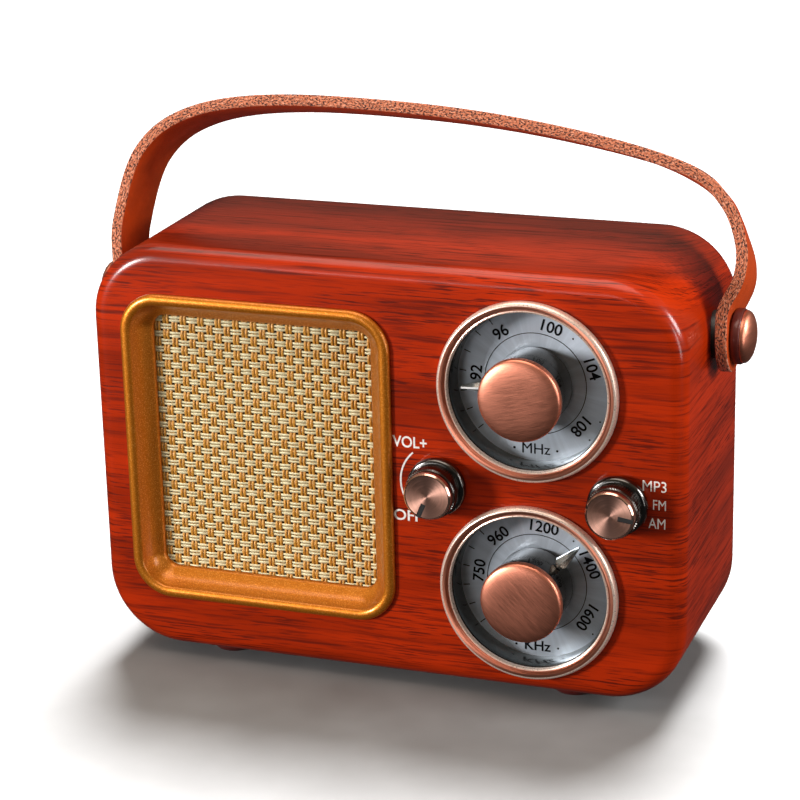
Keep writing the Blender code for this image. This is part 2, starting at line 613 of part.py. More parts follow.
def smooth_path(knots, steps):
    """Points on a smooth curve through the knots."""
    points = [Vector(knot) for knot in knots]
    slopes = [(after - before) / 2 for before, after in zip(points[:1] + points, points[1:] + points[-1:])]
    path = []
    for index in range(len(points) - 1):
        start, end = points[index], points[index + 1]
        for step in range(steps):
            t = step / steps
            path.append(start * (2 * t**3 - 3 * t**2 + 1) + slopes[index] * (t**3 - 2 * t**2 + t)
                        + end * (3 * t**2 - 2 * t**3) + slopes[index + 1] * (t**3 - t**2))
    path.append(points[-1])
    return path


def strap_rows():
    """(middle point, outward direction, half width) across the strap, end to end."""
    end_radius = STRAP_WIDTH / 2
    angles = [math.radians(angle) for angle in (12, 30, 50, 70)]
    path = smooth_path(strap_path(), 5)
    rows = [(Vector((-STRAP_X, -end_radius * math.cos(a))), Vector((-1, 0)), end_radius * math.sin(a))
            for a in angles]
    for index, point in enumerate(path):
        before, after = path[max(index - 1, 0)], path[min(index + 1, len(path) - 1)]
        along = (after - before).normalized()
        rows.append((point, Vector((-along.y, along.x)), end_radius))
    rows += [(Vector((STRAP_X, -end_radius * math.cos(a))), Vector((1, 0)), end_radius * math.sin(a))
             for a in reversed(angles)]
    return rows


def make_handle(leather, copper, washer_material, steel):
    axis = add_axis("handle_axis", (0, PIVOT_Y, PIVOT_Z))
    bm = bmesh.new()
    rings = []
    for middle, outward, half in strap_rows():
        corners = [(side * half, offset * STRAP_THICKNESS / 2)
                   for side, offset in ((-1, 1), (1, 1), (1, -1), (-1, -1))]
        rings.append([bm.verts.new((middle.x + outward.x * offset, across,
                                    middle.y + outward.y * offset)) for across, offset in corners])
    bridge_rings(bm, rings)
    lean = (-math.radians(HANDLE_LEAN), 0, 0)
    strap = add_object("handle_strap", bm, leather, axis.location, lean, axis)
    for label, side, turn in (("left", -1, FACING_LEFT), ("right", 1, FACING_RIGHT)):
        cut(strap, cylinder_cutter(label + "_strap_hole", STUD_SHANK_RADIUS + RUNNING_CLEARANCE,
                                   3 * STRAP_THICKNESS, (side * STRAP_X, PIVOT_Y, PIVOT_Z), turn,
                                   SMALL_SEGMENTS))
        make_stud(label, side, turn, copper, washer_material, steel)


def make_stud(label, side, turn, copper, washer_material, steel):
    """Heights are counted outwards from the cabinet's side."""
    place = (side * HALF_WIDTH, PIVOT_Y, PIVOT_Z)
    strap_outer = STRAP_X + STRAP_THICKNESS / 2 - HALF_WIDTH
    washer_in = strap_outer + CLEARANCE
    washer_out = washer_in + STUD_WASHER_THICKNESS
    bore = STUD_SHANK_RADIUS + CLEARANCE
    washer = [(bore, washer_in), (STUD_WASHER_RADIUS * 0.94, washer_in),
              (STUD_WASHER_RADIUS, washer_in + 0.0004), (STUD_WASHER_RADIUS, washer_out - 0.0004),
              (STUD_WASHER_RADIUS * 0.94, washer_out), (bore, washer_out)]
    turned(label + "_stud_washer", washer, washer_material, place, turn)
    head_in = washer_out + CLEARANCE
    nut_out = -WALL - STUD_SEAT_HEIGHT - CLEARANCE
    nut_in = nut_out - STUD_NUT_THICKNESS
    stud = [(0, nut_in - 0.001), (STUD_SHANK_RADIUS, nut_in - 0.001), (STUD_SHANK_RADIUS, head_in),
            (STUD_HEAD_RADIUS, head_in)]
    stud += [(STUD_HEAD_RADIUS * math.cos(a), head_in + STUD_HEAD_HEIGHT * (0.12 + 0.88 * math.sin(a)))
             for a in quarter_arc(5)[:-1]]
    stud.append((0, head_in + STUD_HEAD_HEIGHT))
    turned(label + "_stud", stud, copper, place, turn)
    nut = [(bore, nut_in), (STUD_SHANK_RADIUS * 2.2, nut_in), (STUD_SHANK_RADIUS * 2.2, nut_out),
           (bore, nut_out)]
    turned(label + "_stud_nut", nut, steel, place, turn, 6)


# ---------------------------------------------------------------- back of the cabinet
def battery_centre_z():
    return BOTTOM + BATTERY_LIFT + CLEARANCE + BATTERY_HEIGHT / 2


def make_rear_cover(plastic):
    cover = rounded_plate("rear_cover", CABINET_WIDTH, CABINET_HEIGHT, CORNER_RADIUS, COVER_INSET,
                          COVER_INNER, COVER_OUTER, plastic, 0, MID_HEIGHT)
    slack = 2 * CLEARANCE
    tray_depth = BATTERY_THICKNESS + slack
    wall = BATTERY_TRAY_WALL
    z = battery_centre_z()
    outer = (BATTERY_WIDTH + slack + 2 * wall, tray_depth + wall - COVER_THICKNESS / 2,
             BATTERY_HEIGHT + slack + 2 * wall)
    join(cover, box_cutter("battery_tray", outer,
                           (0, COVER_OUTER - COVER_THICKNESS / 2 - outer[1] / 2, z)))
    cut(cover, box_cutter("battery_space", (BATTERY_WIDTH + slack, 2 * tray_depth,
                                            BATTERY_HEIGHT + slack), (0, COVER_OUTER, z)))
    for number, (x, z) in enumerate(cover_corners(), 1):
        cut(cover, cylinder_cutter(f"cover_screw_hole_{number}", SCREW_RADIUS + CLEARANCE,
                                   4 * COVER_THICKNESS, (x, COVER_OUTER, z), FACING_BACK,
                                   SMALL_SEGMENTS))
    for label, x, z in button_places():
        cut(cover, cylinder_cutter(label + "_hole", BUTTON_RADIUS + CLEARANCE, 4 * COVER_THICKNESS,
                                   (x, COVER_OUTER, z), FACING_BACK, SMALL_SEGMENTS))
    cut(cover, cylinder_cutter("antenna_hole", ANTENNA_RADII[0] + RUNNING_CLEARANCE,
                               4 * COVER_THICKNESS, antenna_pivot(), FACING_BACK, SMALL_SEGMENTS))
    audio, charge = socket_places()
    cut(cover, cylinder_cutter("audio_hole", AUDIO_SOCKET_RADIUS + CLEARANCE, 4 * COVER_THICKNESS,
                               (audio[0], COVER_OUTER, audio[1]), FACING_BACK, SMALL_SEGMENTS))
    width, height = CHARGE_SOCKET_SIZE
    cut(cover, box_cutter("charge_hole", (width + slack, 4 * COVER_THICKNESS, height + slack),
                          (charge[0], COVER_OUTER, charge[1])))


def socket_places():
    z = BOTTOM + CABINET_HEIGHT - SOCKET_ROW_DROP
    return (-SOCKET_SIDE, z), (-SOCKET_SIDE + 0.014, z)


def button_places():
    z = BOTTOM + CABINET_HEIGHT - BUTTON_DROP
    return [(label, side * BUTTON_SPACING, z)
            for label, side in (("previous_button", 1), ("play_button", 0), ("next_button", -1))]


def antenna_pivot():
    return (ANTENNA_PIVOT_SIDE, COVER_OUTER, BOTTOM + CABINET_HEIGHT - ANTENNA_PIVOT_DROP)


def make_cover_screws(steel):
    head_in = CLEARANCE
    head_out = head_in + SCREW_HEAD_HEIGHT
    profile = [(0, -SCREW_LENGTH + head_in), (SCREW_RADIUS, -SCREW_LENGTH + head_in),
               (SCREW_RADIUS, head_in), (SCREW_HEAD_RADIUS, head_in),
               (SCREW_HEAD_RADIUS, head_in + SCREW_HEAD_HEIGHT * 0.4),
               (SCREW_HEAD_RADIUS * 0.7, head_out), (0, head_out)]
    for number, (x, z) in enumerate(cover_corners(), 1):
        turned(f"cover_screw_{number}", profile, steel, (x, COVER_OUTER, z), FACING_BACK,
               SMALL_SEGMENTS)


def make_battery(battery_material, plastic):
    z = battery_centre_z()
    box("battery", (BATTERY_WIDTH, BATTERY_THICKNESS, BATTERY_HEIGHT), battery_material,
        (0, COVER_OUTER - CLEARANCE - BATTERY_THICKNESS / 2, z))
    axis = add_axis("battery_door_axis", (0, COVER_OUTER, z))
    box("battery_door", (BATTERY_WIDTH + 2 * DOOR_OVERLAP, DOOR_THICKNESS,
                         BATTERY_HEIGHT + 2 * DOOR_OVERLAP), plastic,
        (0, COVER_OUTER + CLEARANCE + DOOR_THICKNESS / 2, z), parent=axis)


def make_buttons(rubber):
    flange_out = -COVER_THICKNESS - CLEARANCE
    flange_in = flange_out - BUTTON_FLANGE_THICKNESS
    profile = [(0, flange_in), (BUTTON_FLANGE_RADIUS, flange_in), (BUTTON_FLANGE_RADIUS, flange_out),
               (BUTTON_RADIUS, flange_out), (BUTTON_RADIUS, BUTTON_PROUD * 0.75),
               (BUTTON_RADIUS * 0.8, BUTTON_PROUD), (0, BUTTON_PROUD)]
    for label, x, z in button_places():
        axis = add_axis(label + "_axis", (x, COVER_OUTER, z))
        turned(label, profile, rubber, (x, COVER_OUTER, z), FACING_BACK, SMALL_SEGMENTS, axis)


def make_sockets(dark, steel):
    audio, charge = socket_places()
    floor = -SOCKET_LENGTH * 0.8
    profile = [(0, floor), (AUDIO_BORE_RADIUS, floor), (AUDIO_BORE_RADIUS, 0),
               (AUDIO_SOCKET_RADIUS, 0), (AUDIO_SOCKET_RADIUS, -SOCKET_LENGTH), (0, -SOCKET_LENGTH)]
    turned("audio_socket", profile, dark, (audio[0], COVER_OUTER, audio[1]), FACING_BACK,
           SMALL_SEGMENTS)
    width, height = CHARGE_SOCKET_SIZE
    shell = box("charge_socket", (width, SOCKET_LENGTH, height), steel,
                (charge[0], COVER_OUTER - SOCKET_LENGTH / 2, charge[1]))
    mouth_width, mouth_height = CHARGE_MOUTH_SIZE
    cut(shell, box_cutter("charge_mouth", (mouth_width, SOCKET_LENGTH, mouth_height),
                          (charge[0], COVER_OUTER, charge[1])))


def make_antenna(chrome):
    """Stowed along the back, pointing left; it swings up about its knuckle and pulls out."""
    pivot = antenna_pivot()
    tube_radius = ANTENNA_RADII[0]
    axis = add_axis("antenna_swing_axis", pivot)
    knuckle = [(0, -COVER_THICKNESS - 0.002), (tube_radius, -COVER_THICKNESS - 0.002),
               (tube_radius, CLEARANCE), (KNUCKLE_RADIUS, CLEARANCE),
               (KNUCKLE_RADIUS, ANTENNA_RISE + tube_radius), (KNUCKLE_RADIUS * 0.8, KNUCKLE_RISE),
               (0, KNUCKLE_RISE)]
    turned("antenna_knuckle", knuckle, chrome, pivot, FACING_BACK, SMALL_SEGMENTS, axis)
    root = KNUCKLE_RADIUS + CLEARANCE
    for index, radius in enumerate(ANTENNA_RADII):
        slide = add_axis(f"antenna_slide_{index + 1}", pivot) if index else axis
        last = index == len(ANTENNA_RADII) - 1
        start = root + 0.003 * index
        end = root + ANTENNA_LENGTH + 0.001 * index
        bore = 0 if last else ANTENNA_RADII[index + 1] + CLEARANCE
        if last:
            profile = [(0, start), (radius, start), (radius, end), (ANTENNA_TIP_RADIUS, end),
                       (ANTENNA_TIP_RADIUS, end + ANTENNA_TIP_LENGTH * 0.8),
                       (ANTENNA_TIP_RADIUS * 0.6, end + ANTENNA_TIP_LENGTH),
                       (0, end + ANTENNA_TIP_LENGTH)]
            name = "antenna_tip"
        else:
            floor = start + 0.0015
            profile = [(0, start), (radius, start), (radius, end), (bore, end), (bore, floor),
                       (0, floor)]
            name = f"antenna_tube_{index + 1}"
        place = (pivot[0], COVER_OUTER + ANTENNA_RISE, pivot[2])
        turned(name, profile, chrome, place, FACING_LEFT, SMALL_SEGMENTS, slide)


# ---------------------------------------------------------------- inside
def make_insides(board_green, ferrite, copper):
    board_front = FRONT + PAN_BACK + TUNER_DEPTH + 2 * CLEARANCE
    width, height = BOARD_SIZE
    box("main_board", (width, BOARD_THICKNESS, height), board_green,
        (DIAL_X - 0.0085, board_front + BOARD_THICKNESS / 2, CONTROLS_Z))
    rod_z = BOTTOM + CABINET_HEIGHT - WALL - ROD_TOP_GAP
    rod_place = (0, FRONT + ROD_SETBACK, rod_z)
    half = ROD_LENGTH / 2
    rod = [(0, -half), (ROD_RADIUS, -half), (ROD_RADIUS, half), (0, half)]
    turned("ferrite_rod", rod, ferrite, rod_place, FACING_RIGHT, SMALL_SEGMENTS)
    inner = ROD_RADIUS + CLEARANCE
    outer = inner + COIL_WINDING_THICKNESS
    half = COIL_WINDING_LENGTH / 2
    winding = [(inner, -half), (outer, -half), (outer, half), (inner, half)]
    turned("antenna_coil", winding, copper, rod_place, FACING_RIGHT, SMALL_SEGMENTS)


# ---------------------------------------------------------------- the whole radio
def main():
    for thing in list(bpy.data.objects):
        bpy.data.objects.remove(thing, do_unlink=True)
    wood = make_material("lacquered_wood_grain", (0.50, 0.045, 0.005), 0.28)
    gold = make_material("gold_paint", (0.60, 0.33, 0.07), 0.35, 0.9)
    copper = make_material("brushed_copper", (0.62, 0.29, 0.20), 0.30, 1.0)
    chrome = make_material("black_chrome", (0.05, 0.05, 0.05), 0.08, 1.0)
    silver = make_material("silver_dial", (0.42, 0.46, 0.52), 0.25, 0.8)
    leather = make_material("brown_leather", (0.42, 0.09, 0.02), 0.55)
    washer_material = make_material("dark_red_washer", (0.16, 0.02, 0.01), 0.5)
    cloth = make_material("speaker_cloth", (0.60, 0.45, 0.20), 0.6)
    fibre = make_material("fibreboard", (0.10, 0.08, 0.06), 0.8)
    steel = make_material("plated_steel", (0.55, 0.55, 0.55), 0.35, 1.0)
    dark = make_material("black_plastic", (0.02, 0.02, 0.02), 0.45)
    rubber = make_material("dark_rubber", (0.09, 0.01, 0.008), 0.7)
    ferrite = make_material("ferrite", (0.04, 0.04, 0.045), 0.6)
    paper = make_material("cone_paper", (0.05, 0.045, 0.04), 0.85)
    green = make_material("circuit_board", (0.01, 0.12, 0.04), 0.4)
    cell = make_material("battery_wrap", (0.03, 0.05, 0.16), 0.4)
    bright = make_material("bright_chrome", (0.8, 0.8, 0.8), 0.1, 1.0)

    make_cabinet_shell(wood)
    make_feet(rubber)
    make_speaker_frame(gold)
    make_speaker_panel(cloth, fibre)
    make_speaker(steel, ferrite, paper, copper)
    for label, z, angle in (("fm", FM_Z, FM_POINTER_ANGLE), ("am", AM_Z, AM_POINTER_ANGLE)):
        make_dial(label, z, angle, copper, silver, chrome, dark)
        make_tuner(label, z, dark)
    make_small_knob("volume", -1, VOLUME_NOTCH_ANGLE, copper, chrome, dark)
    make_small_knob("band", 1, BAND_NOTCH_ANGLE, copper, chrome, dark)
    make_handle(leather, copper, washer_material, steel)
    make_rear_cover(dark)
    make_cover_screws(steel)
    make_battery(cell, dark)
    make_buttons(rubber)
    make_sockets(dark, steel)
    make_antenna(bright)
    make_insides(green, ferrite, copper)


main()
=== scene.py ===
"""Small portable table radio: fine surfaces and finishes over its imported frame, and a studio."""

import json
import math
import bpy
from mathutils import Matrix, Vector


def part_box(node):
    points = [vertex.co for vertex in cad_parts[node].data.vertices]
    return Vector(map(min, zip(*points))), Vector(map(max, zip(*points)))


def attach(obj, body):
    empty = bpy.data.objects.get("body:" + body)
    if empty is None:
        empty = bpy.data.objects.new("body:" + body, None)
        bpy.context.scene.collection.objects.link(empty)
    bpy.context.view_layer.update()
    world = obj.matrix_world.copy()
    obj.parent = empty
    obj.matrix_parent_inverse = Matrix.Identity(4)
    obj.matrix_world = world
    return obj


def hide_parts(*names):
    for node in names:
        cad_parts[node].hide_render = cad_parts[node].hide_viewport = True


bl_info = {
    "name": "Strap Handle Radio",
    "version": (1, 0, 0),
    "blender": (4, 5, 0),
    "location": "3D View > Sidebar > Radio",
    "description": "Builds a small table radio piece by piece over its frame",
    "category": "Object",
}

import bmesh
import bpy
from bpy.props import FloatProperty, FloatVectorProperty, IntProperty, PointerProperty
from mathutils import Matrix, Vector

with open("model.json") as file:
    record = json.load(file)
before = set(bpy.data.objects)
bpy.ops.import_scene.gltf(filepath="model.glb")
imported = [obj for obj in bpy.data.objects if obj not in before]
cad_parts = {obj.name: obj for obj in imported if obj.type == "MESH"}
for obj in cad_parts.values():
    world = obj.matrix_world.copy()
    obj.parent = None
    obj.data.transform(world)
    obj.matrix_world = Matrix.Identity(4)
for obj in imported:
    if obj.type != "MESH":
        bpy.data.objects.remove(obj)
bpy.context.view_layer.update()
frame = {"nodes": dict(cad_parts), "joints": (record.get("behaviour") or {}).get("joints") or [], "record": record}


# ---------------------------------------------------------------- places in the frame
def low(node):
    return Vector(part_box(node)[0])


def high(node):
    return Vector(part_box(node)[1])


def middle(node):
    return (low(node) + high(node)) / 2


def size_of(node):
    return high(node) - low(node)


def joint_place(name):
    joint = next(item for item in frame["joints"] if item["name"] == name)
    return Vector(joint["pos_m"])


FRONT = low("cabinet_shell").y
BACK = high("cabinet_shell").y
BOTTOM = low("cabinet_shell").z
TOP = high("cabinet_shell").z
COVER_FACE = high("rear_cover").y

PRINT = 0.00006  # thickness of anything printed
CAPITAL_HEIGHT = 0.73  # of a capital letter, as a share of the letter size
POINTER_TIP = 0.0176  # from the dial's centre to the pointer's end
SHAFT_BORE = 0.0033  # radius of the knobs' bores round their shafts

FACING_FRONT = Matrix.Rotation(math.pi / 2, 4, "X")
FACING_BACK = Matrix.Rotation(-math.pi / 2, 4, "X")
FACING_RIGHT = Matrix.Rotation(math.pi / 2, 4, "Y")
FACING_LEFT = Matrix.Rotation(-math.pi / 2, 4, "Y")
UPRIGHT = Matrix.Identity(4)
# cosine and sine of each turn of the handle, from one end of its swing to the other
SWING = [(math.cos(math.radians(turn)), math.sin(math.radians(turn)))
         for turn in range(-80, 120, 5)]


# ---------------------------------------------------------------- what a user would change
def length(name, description, default):
    return FloatProperty(name=name, description=description, default=default, min=0.0,
                         unit="LENGTH", precision=5)


def angle(name, description, default):
    return FloatProperty(name=name, description=description, default=math.radians(default),
                         subtype="ANGLE")


def colour(name, description, default):
    return FloatVectorProperty(name=name, description=description, default=default, min=0.0,
                               max=1.0, size=3, subtype="COLOR")


class CabinetSizes(bpy.types.PropertyGroup):
    """Sizes of the cabinet, its strap bosses and the back."""

    corner: length("Corner", "Radius of the cabinet's corners, seen from the front", 0.020)
    front_rounding: length("Front rounding", "Radius round the front's edge", 0.004)
    rear_rounding: length("Rear rounding", "Radius round the back's edge", 0.012)
    wall: length("Wall", "Thickness of the moulded wall", 0.0025)
    boss: length("Boss height", "How far the strap's bosses stand out of the sides", 0.0013)
    boss_radius: length("Boss radius", "Radius of the strap's bosses", 0.006)
    cover_gap: length("Cover gap", "Gap round the rear cover", 0.0003)


class SpeakerSizes(bpy.types.PropertyGroup):
    """Sizes of the speaker's frame and cloth."""

    corner: length("Frame corner", "Radius of the gold frame's corners", 0.0105)
    rim: length("Rim width", "Width of the raised rim", 0.003)
    window_inset: length("Window inset", "From the frame's edge to the cloth's window", 0.0068)
    window_depth: length("Window depth", "From the cabinet's face to the end of the slope", 0.004)
    neck_inset: length("Neck inset", "From the frame's edge to the part that sits in the hole",
                       0.0021)
    bundle_across: length("Upright bundles", "Pitch of the upright yarn pairs", 0.00242)
    bundle_up: length("Level bundles", "Pitch of the level yarn pairs", 0.00206)
    yarn: length("Yarn", "Half the thickness of one yarn", 0.00021)


class DialSizes(bpy.types.PropertyGroup):
    """Sizes of the two tuning dials and their print."""

    plate_radius: length("Plate radius", "Radius of the printed plate", 0.0200)
    plate_depth: length("Plate depth", "From the cabinet's face to the plate", 0.0063)
    circle: length("Printed circle", "Radius of the thin printed circle", 0.01297)
    numeral: length("Numeral size", "Letter size of the dial's numerals", 0.0041)
    numeral_radius: length("Numeral radius", "From the dial's centre to its numerals", 0.0151)
    tick_radius: length("Tick radius", "From the dial's centre to the marks' inner ends", 0.0187)
    knob_radius: length("Knob radius", "Radius of the dial knob's body", 0.0097)
    cap_radius: length("Cap radius", "Radius of the dial knob's cap", 0.0104)
    cap_rim: length("Cap rim", "How far the cap's rim stands out of the face", 0.0074)
    cap_crown: length("Cap crown", "How far the cap's middle stands over its rim", 0.0013)
    fm_pointer: angle("FM pointer", "Clockwise from the top", -92.5)
    am_pointer: angle("AM pointer", "Clockwise from the top", 44.5)
    fm_brush: angle("FM brushing", "Turn of the cap's brush marks", 15.0)
    am_brush: angle("AM brushing", "Turn of the cap's brush marks", -42.0)


class KnobSizes(bpy.types.PropertyGroup):
    """Sizes of the two small control knobs."""

    skirt_radius: length("Skirt radius", "Radius of the bulged dark skirt", 0.0076)
    band_radius: length("Band radius", "Radius of the knurled band", 0.0066)
    cap_radius: length("Cap radius", "Radius of the copper cap", 0.0061)
    proud: length("Height", "How far the knob stands out of the face", 0.0098)
    teeth: IntProperty(name="Teeth", description="Teeth of the knurl", default=64, min=12)
    volume_notch: angle("Volume notch", "Clockwise from the top", -157.0)
    band_notch: angle("Band notch", "Clockwise from the top", 97.0)


class StrapSizes(bpy.types.PropertyGroup):
    """Sizes of the leather strap and its studs."""

    width: length("Width", "Width of the strap", 0.018)
    thickness: length("Thickness", "Thickness of the leather", 0.003)
    rise: length("Rise", "Height of the arch over the studs", 0.0507)
    lean: angle("Lean", "How far the strap leans back", 18.0)
    edge_rounding: length("Edge rounding", "Radius along the strap's edges", 0.0005)
    twist: angle("Twist", "How far the right leg's back edge turns inwards", 8.5)


class RadioColours(bpy.types.PropertyGroup):
    """Base colours of the finishes."""

    wood: colour("Wood", "Bright part of the grain", (0.39, 0.022, 0.0012))
    wood_dark: colour("Dark wood", "Streaks of the grain", (0.075, 0.004, 0.001))
    gold: colour("Gold", "Speaker frame", (0.56, 0.165, 0.006))
    copper: colour("Copper", "Bezels, caps and studs", (0.72, 0.26, 0.165))
    small_cap: colour("Small caps", "Caps of the two small knobs", (0.62, 0.33, 0.25))
    dark_chrome: colour("Dark chrome", "Knob bodies", (0.11, 0.105, 0.10))
    plate: colour("Dial plate", "Silver grey plate", (0.68, 0.75, 0.84))
    cream: colour("Cream yarn", "Level yarns of the cloth", (1.0, 0.82, 0.46))
    straw: colour("Gold yarn", "Upright yarns of the cloth", (0.74, 0.33, 0.035))
    leather: colour("Leather", "Smooth faces of the strap", (0.55, 0.060, 0.004))
    leather_edge: colour("Leather edge", "Cut edges of the strap", (0.60, 0.17, 0.075))
    black: colour("Black plastic", "Back and controls", (0.014, 0.014, 0.015))
    print_white: colour("White print", "Words beside the small knobs", (0.85, 0.80, 0.76))


# ---------------------------------------------------------------- finishes
def scaled(shade, by):
    """A lighter or darker copy of a colour."""
    return [min(1.0, channel * by) for channel in shade]


class Finish:
    """A material in the making: its shader, and the nodes that colour and roughen it."""

    def __init__(self, name, base, roughness, metallic=0.0, **sockets):
        self.material = bpy.data.materials.new(name)
        self.material.use_nodes = True
        self.tree = self.material.node_tree
        self.shader = self.tree.nodes["Principled BSDF"]
        self.set(Base_Color=(*base, 1.0), Roughness=roughness, Metallic=metallic, **sockets)

    def set(self, **sockets):
        for name, value in sockets.items():
            self.shader.inputs[name.replace("_", " ")].default_value = value

    def feed(self, socket, output):
        self.tree.links.new(output, self.shader.inputs[socket])

    def add(self, kind, inputs=(), **settings):
        node = self.tree.nodes.new("ShaderNode" + kind)
        for name, value in settings.items():
            setattr(node, name, value)
        for key, value in dict(inputs).items():
            if isinstance(value, bpy.types.NodeSocket):
                self.tree.links.new(value, node.inputs[key])
            else:
                node.inputs[key].default_value = value
        return node

    def place(self, scale=(1, 1, 1), turn=(0, 0, 0), uv=None, shift=(0, 0, 0)):
        """Object coordinates, or a UV map's, stretched and turned for a pattern."""
        if uv:
            source = self.add("UVMap", uv_map=uv).outputs["UV"]
        else:
            source = self.add("TexCoord").outputs["Object"]
        return self.add("Mapping", {"Vector": source, "Scale": scale, "Rotation": turn,
                                    "Location": shift}).outputs["Vector"]

    def noise(self, where, scale=1.0, detail=3.0, roughness=0.5):
        return self.add("TexNoise", {"Vector": where, "Scale": scale, "Detail": detail,
                                     "Roughness": roughness}).outputs["Fac"]

    def ramp(self, value, stops):
        node = self.add("ValToRGB", {"Fac": value})
        elements = node.color_ramp.elements
        while len(elements) < len(stops):
            elements.new(0.5)
        for element, (position, shade) in zip(elements, stops):
            element.position, element.color = position, (*shade, 1.0)
        return node.outputs["Color"]

    def math(self, operation, a, b=0.0):
        return self.add("Math", {0: a, 1: b}, operation=operation).outputs["Value"]

    def span(self, value, start, end, to_start=0.0, to_end=1.0):
        return self.add("MapRange", {"Value": value, "From Min": start, "From Max": end,
                                     "To Min": to_start, "To Max": to_end}).outputs["Result"]

    def blend(self, amount, a, b):
        a, b = [(*shade, 1.0) if hasattr(shade, "__len__") and len(shade) == 3 else shade
                for shade in (a, b)]
        node = self.add("Mix", {0: amount}, data_type="RGBA")
        for socket, value in ((node.inputs[6], a), (node.inputs[7], b)):
            if isinstance(value, bpy.types.NodeSocket):
                self.tree.links.new(value, socket)
            else:
                socket.default_value = value
        return node.outputs[2]

    def bump(self, height, depth, strength=1.0):
        normal = self.add("Bump", {"Height": height, "Distance": depth, "Strength": strength})
        if self.shader.inputs["Normal"].is_linked:
            self.tree.links.new(self.shader.inputs["Normal"].links[0].from_socket,
                                normal.inputs["Normal"])
        self.feed("Normal", normal.outputs["Normal"])


def wood_grain(colours):
    """Printed grain under gloss lacquer; its map runs along the grain and across it."""
    finish = Finish("wood_grain", colours.wood, 0.34, Coat_Weight=0.52, Coat_Roughness=0.19,
                    Specular_IOR_Level=0.10)
    wave = finish.noise(finish.place((9, 30, 1), uv="grain"), 1.0, 2.0)
    drift = finish.add("CombineXYZ", {1: finish.math("MULTIPLY", wave, 0.004)}).outputs[0]
    warped = finish.add("VectorMath", {0: finish.place(uv="grain"), 1: drift},
                        operation="ADD").outputs[0]

    def along(stretch, pitch, detail, roughness=0.55):
        where = finish.add("Mapping", {"Vector": warped, "Scale": (stretch, pitch, 1)})
        return finish.noise(where.outputs["Vector"], 1.0, detail, roughness)

    tone = along(7, 70, 3.0)
    base = finish.ramp(tone, [(0.32, scaled(colours.wood, 0.48)), (0.52, colours.wood),
                              (0.75, scaled(colours.wood, 1.35))])
    pores = finish.span(along(95, 1900, 2.0), 0.52, 0.61)
    patches = finish.span(along(18, 75, 2.0), 0.40, 0.58)
    streaks = finish.math("MULTIPLY", pores, finish.span(patches, 0.0, 1.0, 0.20, 0.85))
    veins = finish.span(along(24, 640, 3.0, 0.6), 0.52, 0.68, 0.0, 0.80)
    dark = finish.math("MAXIMUM", streaks, veins)
    finish.feed("Base Color", finish.blend(dark, base, colours.wood_dark))
    finish.feed("Roughness", finish.span(dark, 0.0, 1.0, 0.28, 0.42))
    finish.bump(finish.math("MULTIPLY", dark, -1.0), 0.00004, 0.35)
    return finish.material


def gold_paint(colours):
    finish = Finish("gold_paint", colours.gold, 0.36, 0.72, Coat_Weight=0.5,
                    Coat_Roughness=0.2, Specular_IOR_Level=0.25)
    grit = finish.noise(finish.place(), 3400, 3.0, 0.7)
    finish.feed("Base Color", finish.ramp(grit, [(0.30, scaled(colours.gold, 0.72)),
                                                 (0.55, colours.gold),
                                                 (0.72, (0.95, 0.44, 0.09))]))
    finish.feed("Roughness", finish.span(grit, 0.3, 0.7, 0.48, 0.30))
    finish.bump(grit, 0.00007, 0.8)
    return finish.material


def copper(shade, name, brush="linear", turn=0.0, centre=(0, 0, 0)):
    """Copper-coloured metal, brushed in straight lines or spun round its own middle."""
    finish = Finish(name, shade, 0.40, 1.0)
    local = finish.place(shift=tuple(-c for c in centre))
    if brush == "linear":
        turned = finish.add("Mapping", {"Vector": local, "Rotation": (0, turn, 0)})
        lines = finish.add("Mapping", {"Vector": turned.outputs["Vector"],
                                       "Scale": (260, 260, 7500)}).outputs["Vector"]
        scratches = finish.noise(lines, 1.0, 3.0, 0.65)
    else:
        parts = finish.add("SeparateXYZ", {0: local})
        square = finish.math("ADD", finish.math("POWER", parts.outputs[0], 2.0),
                             finish.math("POWER", parts.outputs[2], 2.0))
        radius = finish.math("SQRT", square)
        heading = finish.math("ARCTAN2", parts.outputs[0], parts.outputs[2])
        polar = finish.add("CombineXYZ", {0: finish.math("MULTIPLY", radius, 7000.0),
                                          1: finish.math("MULTIPLY", heading, 0.7)}).outputs[0]
        scratches = finish.noise(polar, 1.0, 3.0, 0.65)
        finish.set(Anisotropic=0.75)
        tangent = finish.add("Tangent", direction_type="RADIAL", axis="Y")
        finish.feed("Tangent", tangent.outputs["Tangent"])
    nicks = finish.noise(local, 900, 4.0, 0.7)
    tone = finish.ramp(scratches, [(0.25, scaled(shade, 0.78)), (0.50, shade),
                                   (0.78, scaled(shade, 1.25))])
    finish.feed("Base Color", tone)
    finish.feed("Roughness", finish.math("ADD", finish.span(scratches, 0.3, 0.7, 0.33, 0.46),
                                         finish.span(nicks, 0.66, 0.72, 0.0, 0.15)))
    finish.bump(scratches, 0.000012, 0.8)
    return finish.material


def dark_chrome(colours):
    finish = Finish("dark_chrome", colours.dark_chrome, 0.14, 1.0)
    smear = finish.noise(finish.place(), 260, 3.0, 0.6)
    finish.feed("Roughness", finish.span(smear, 0.35, 0.7, 0.10, 0.22))
    return finish.material


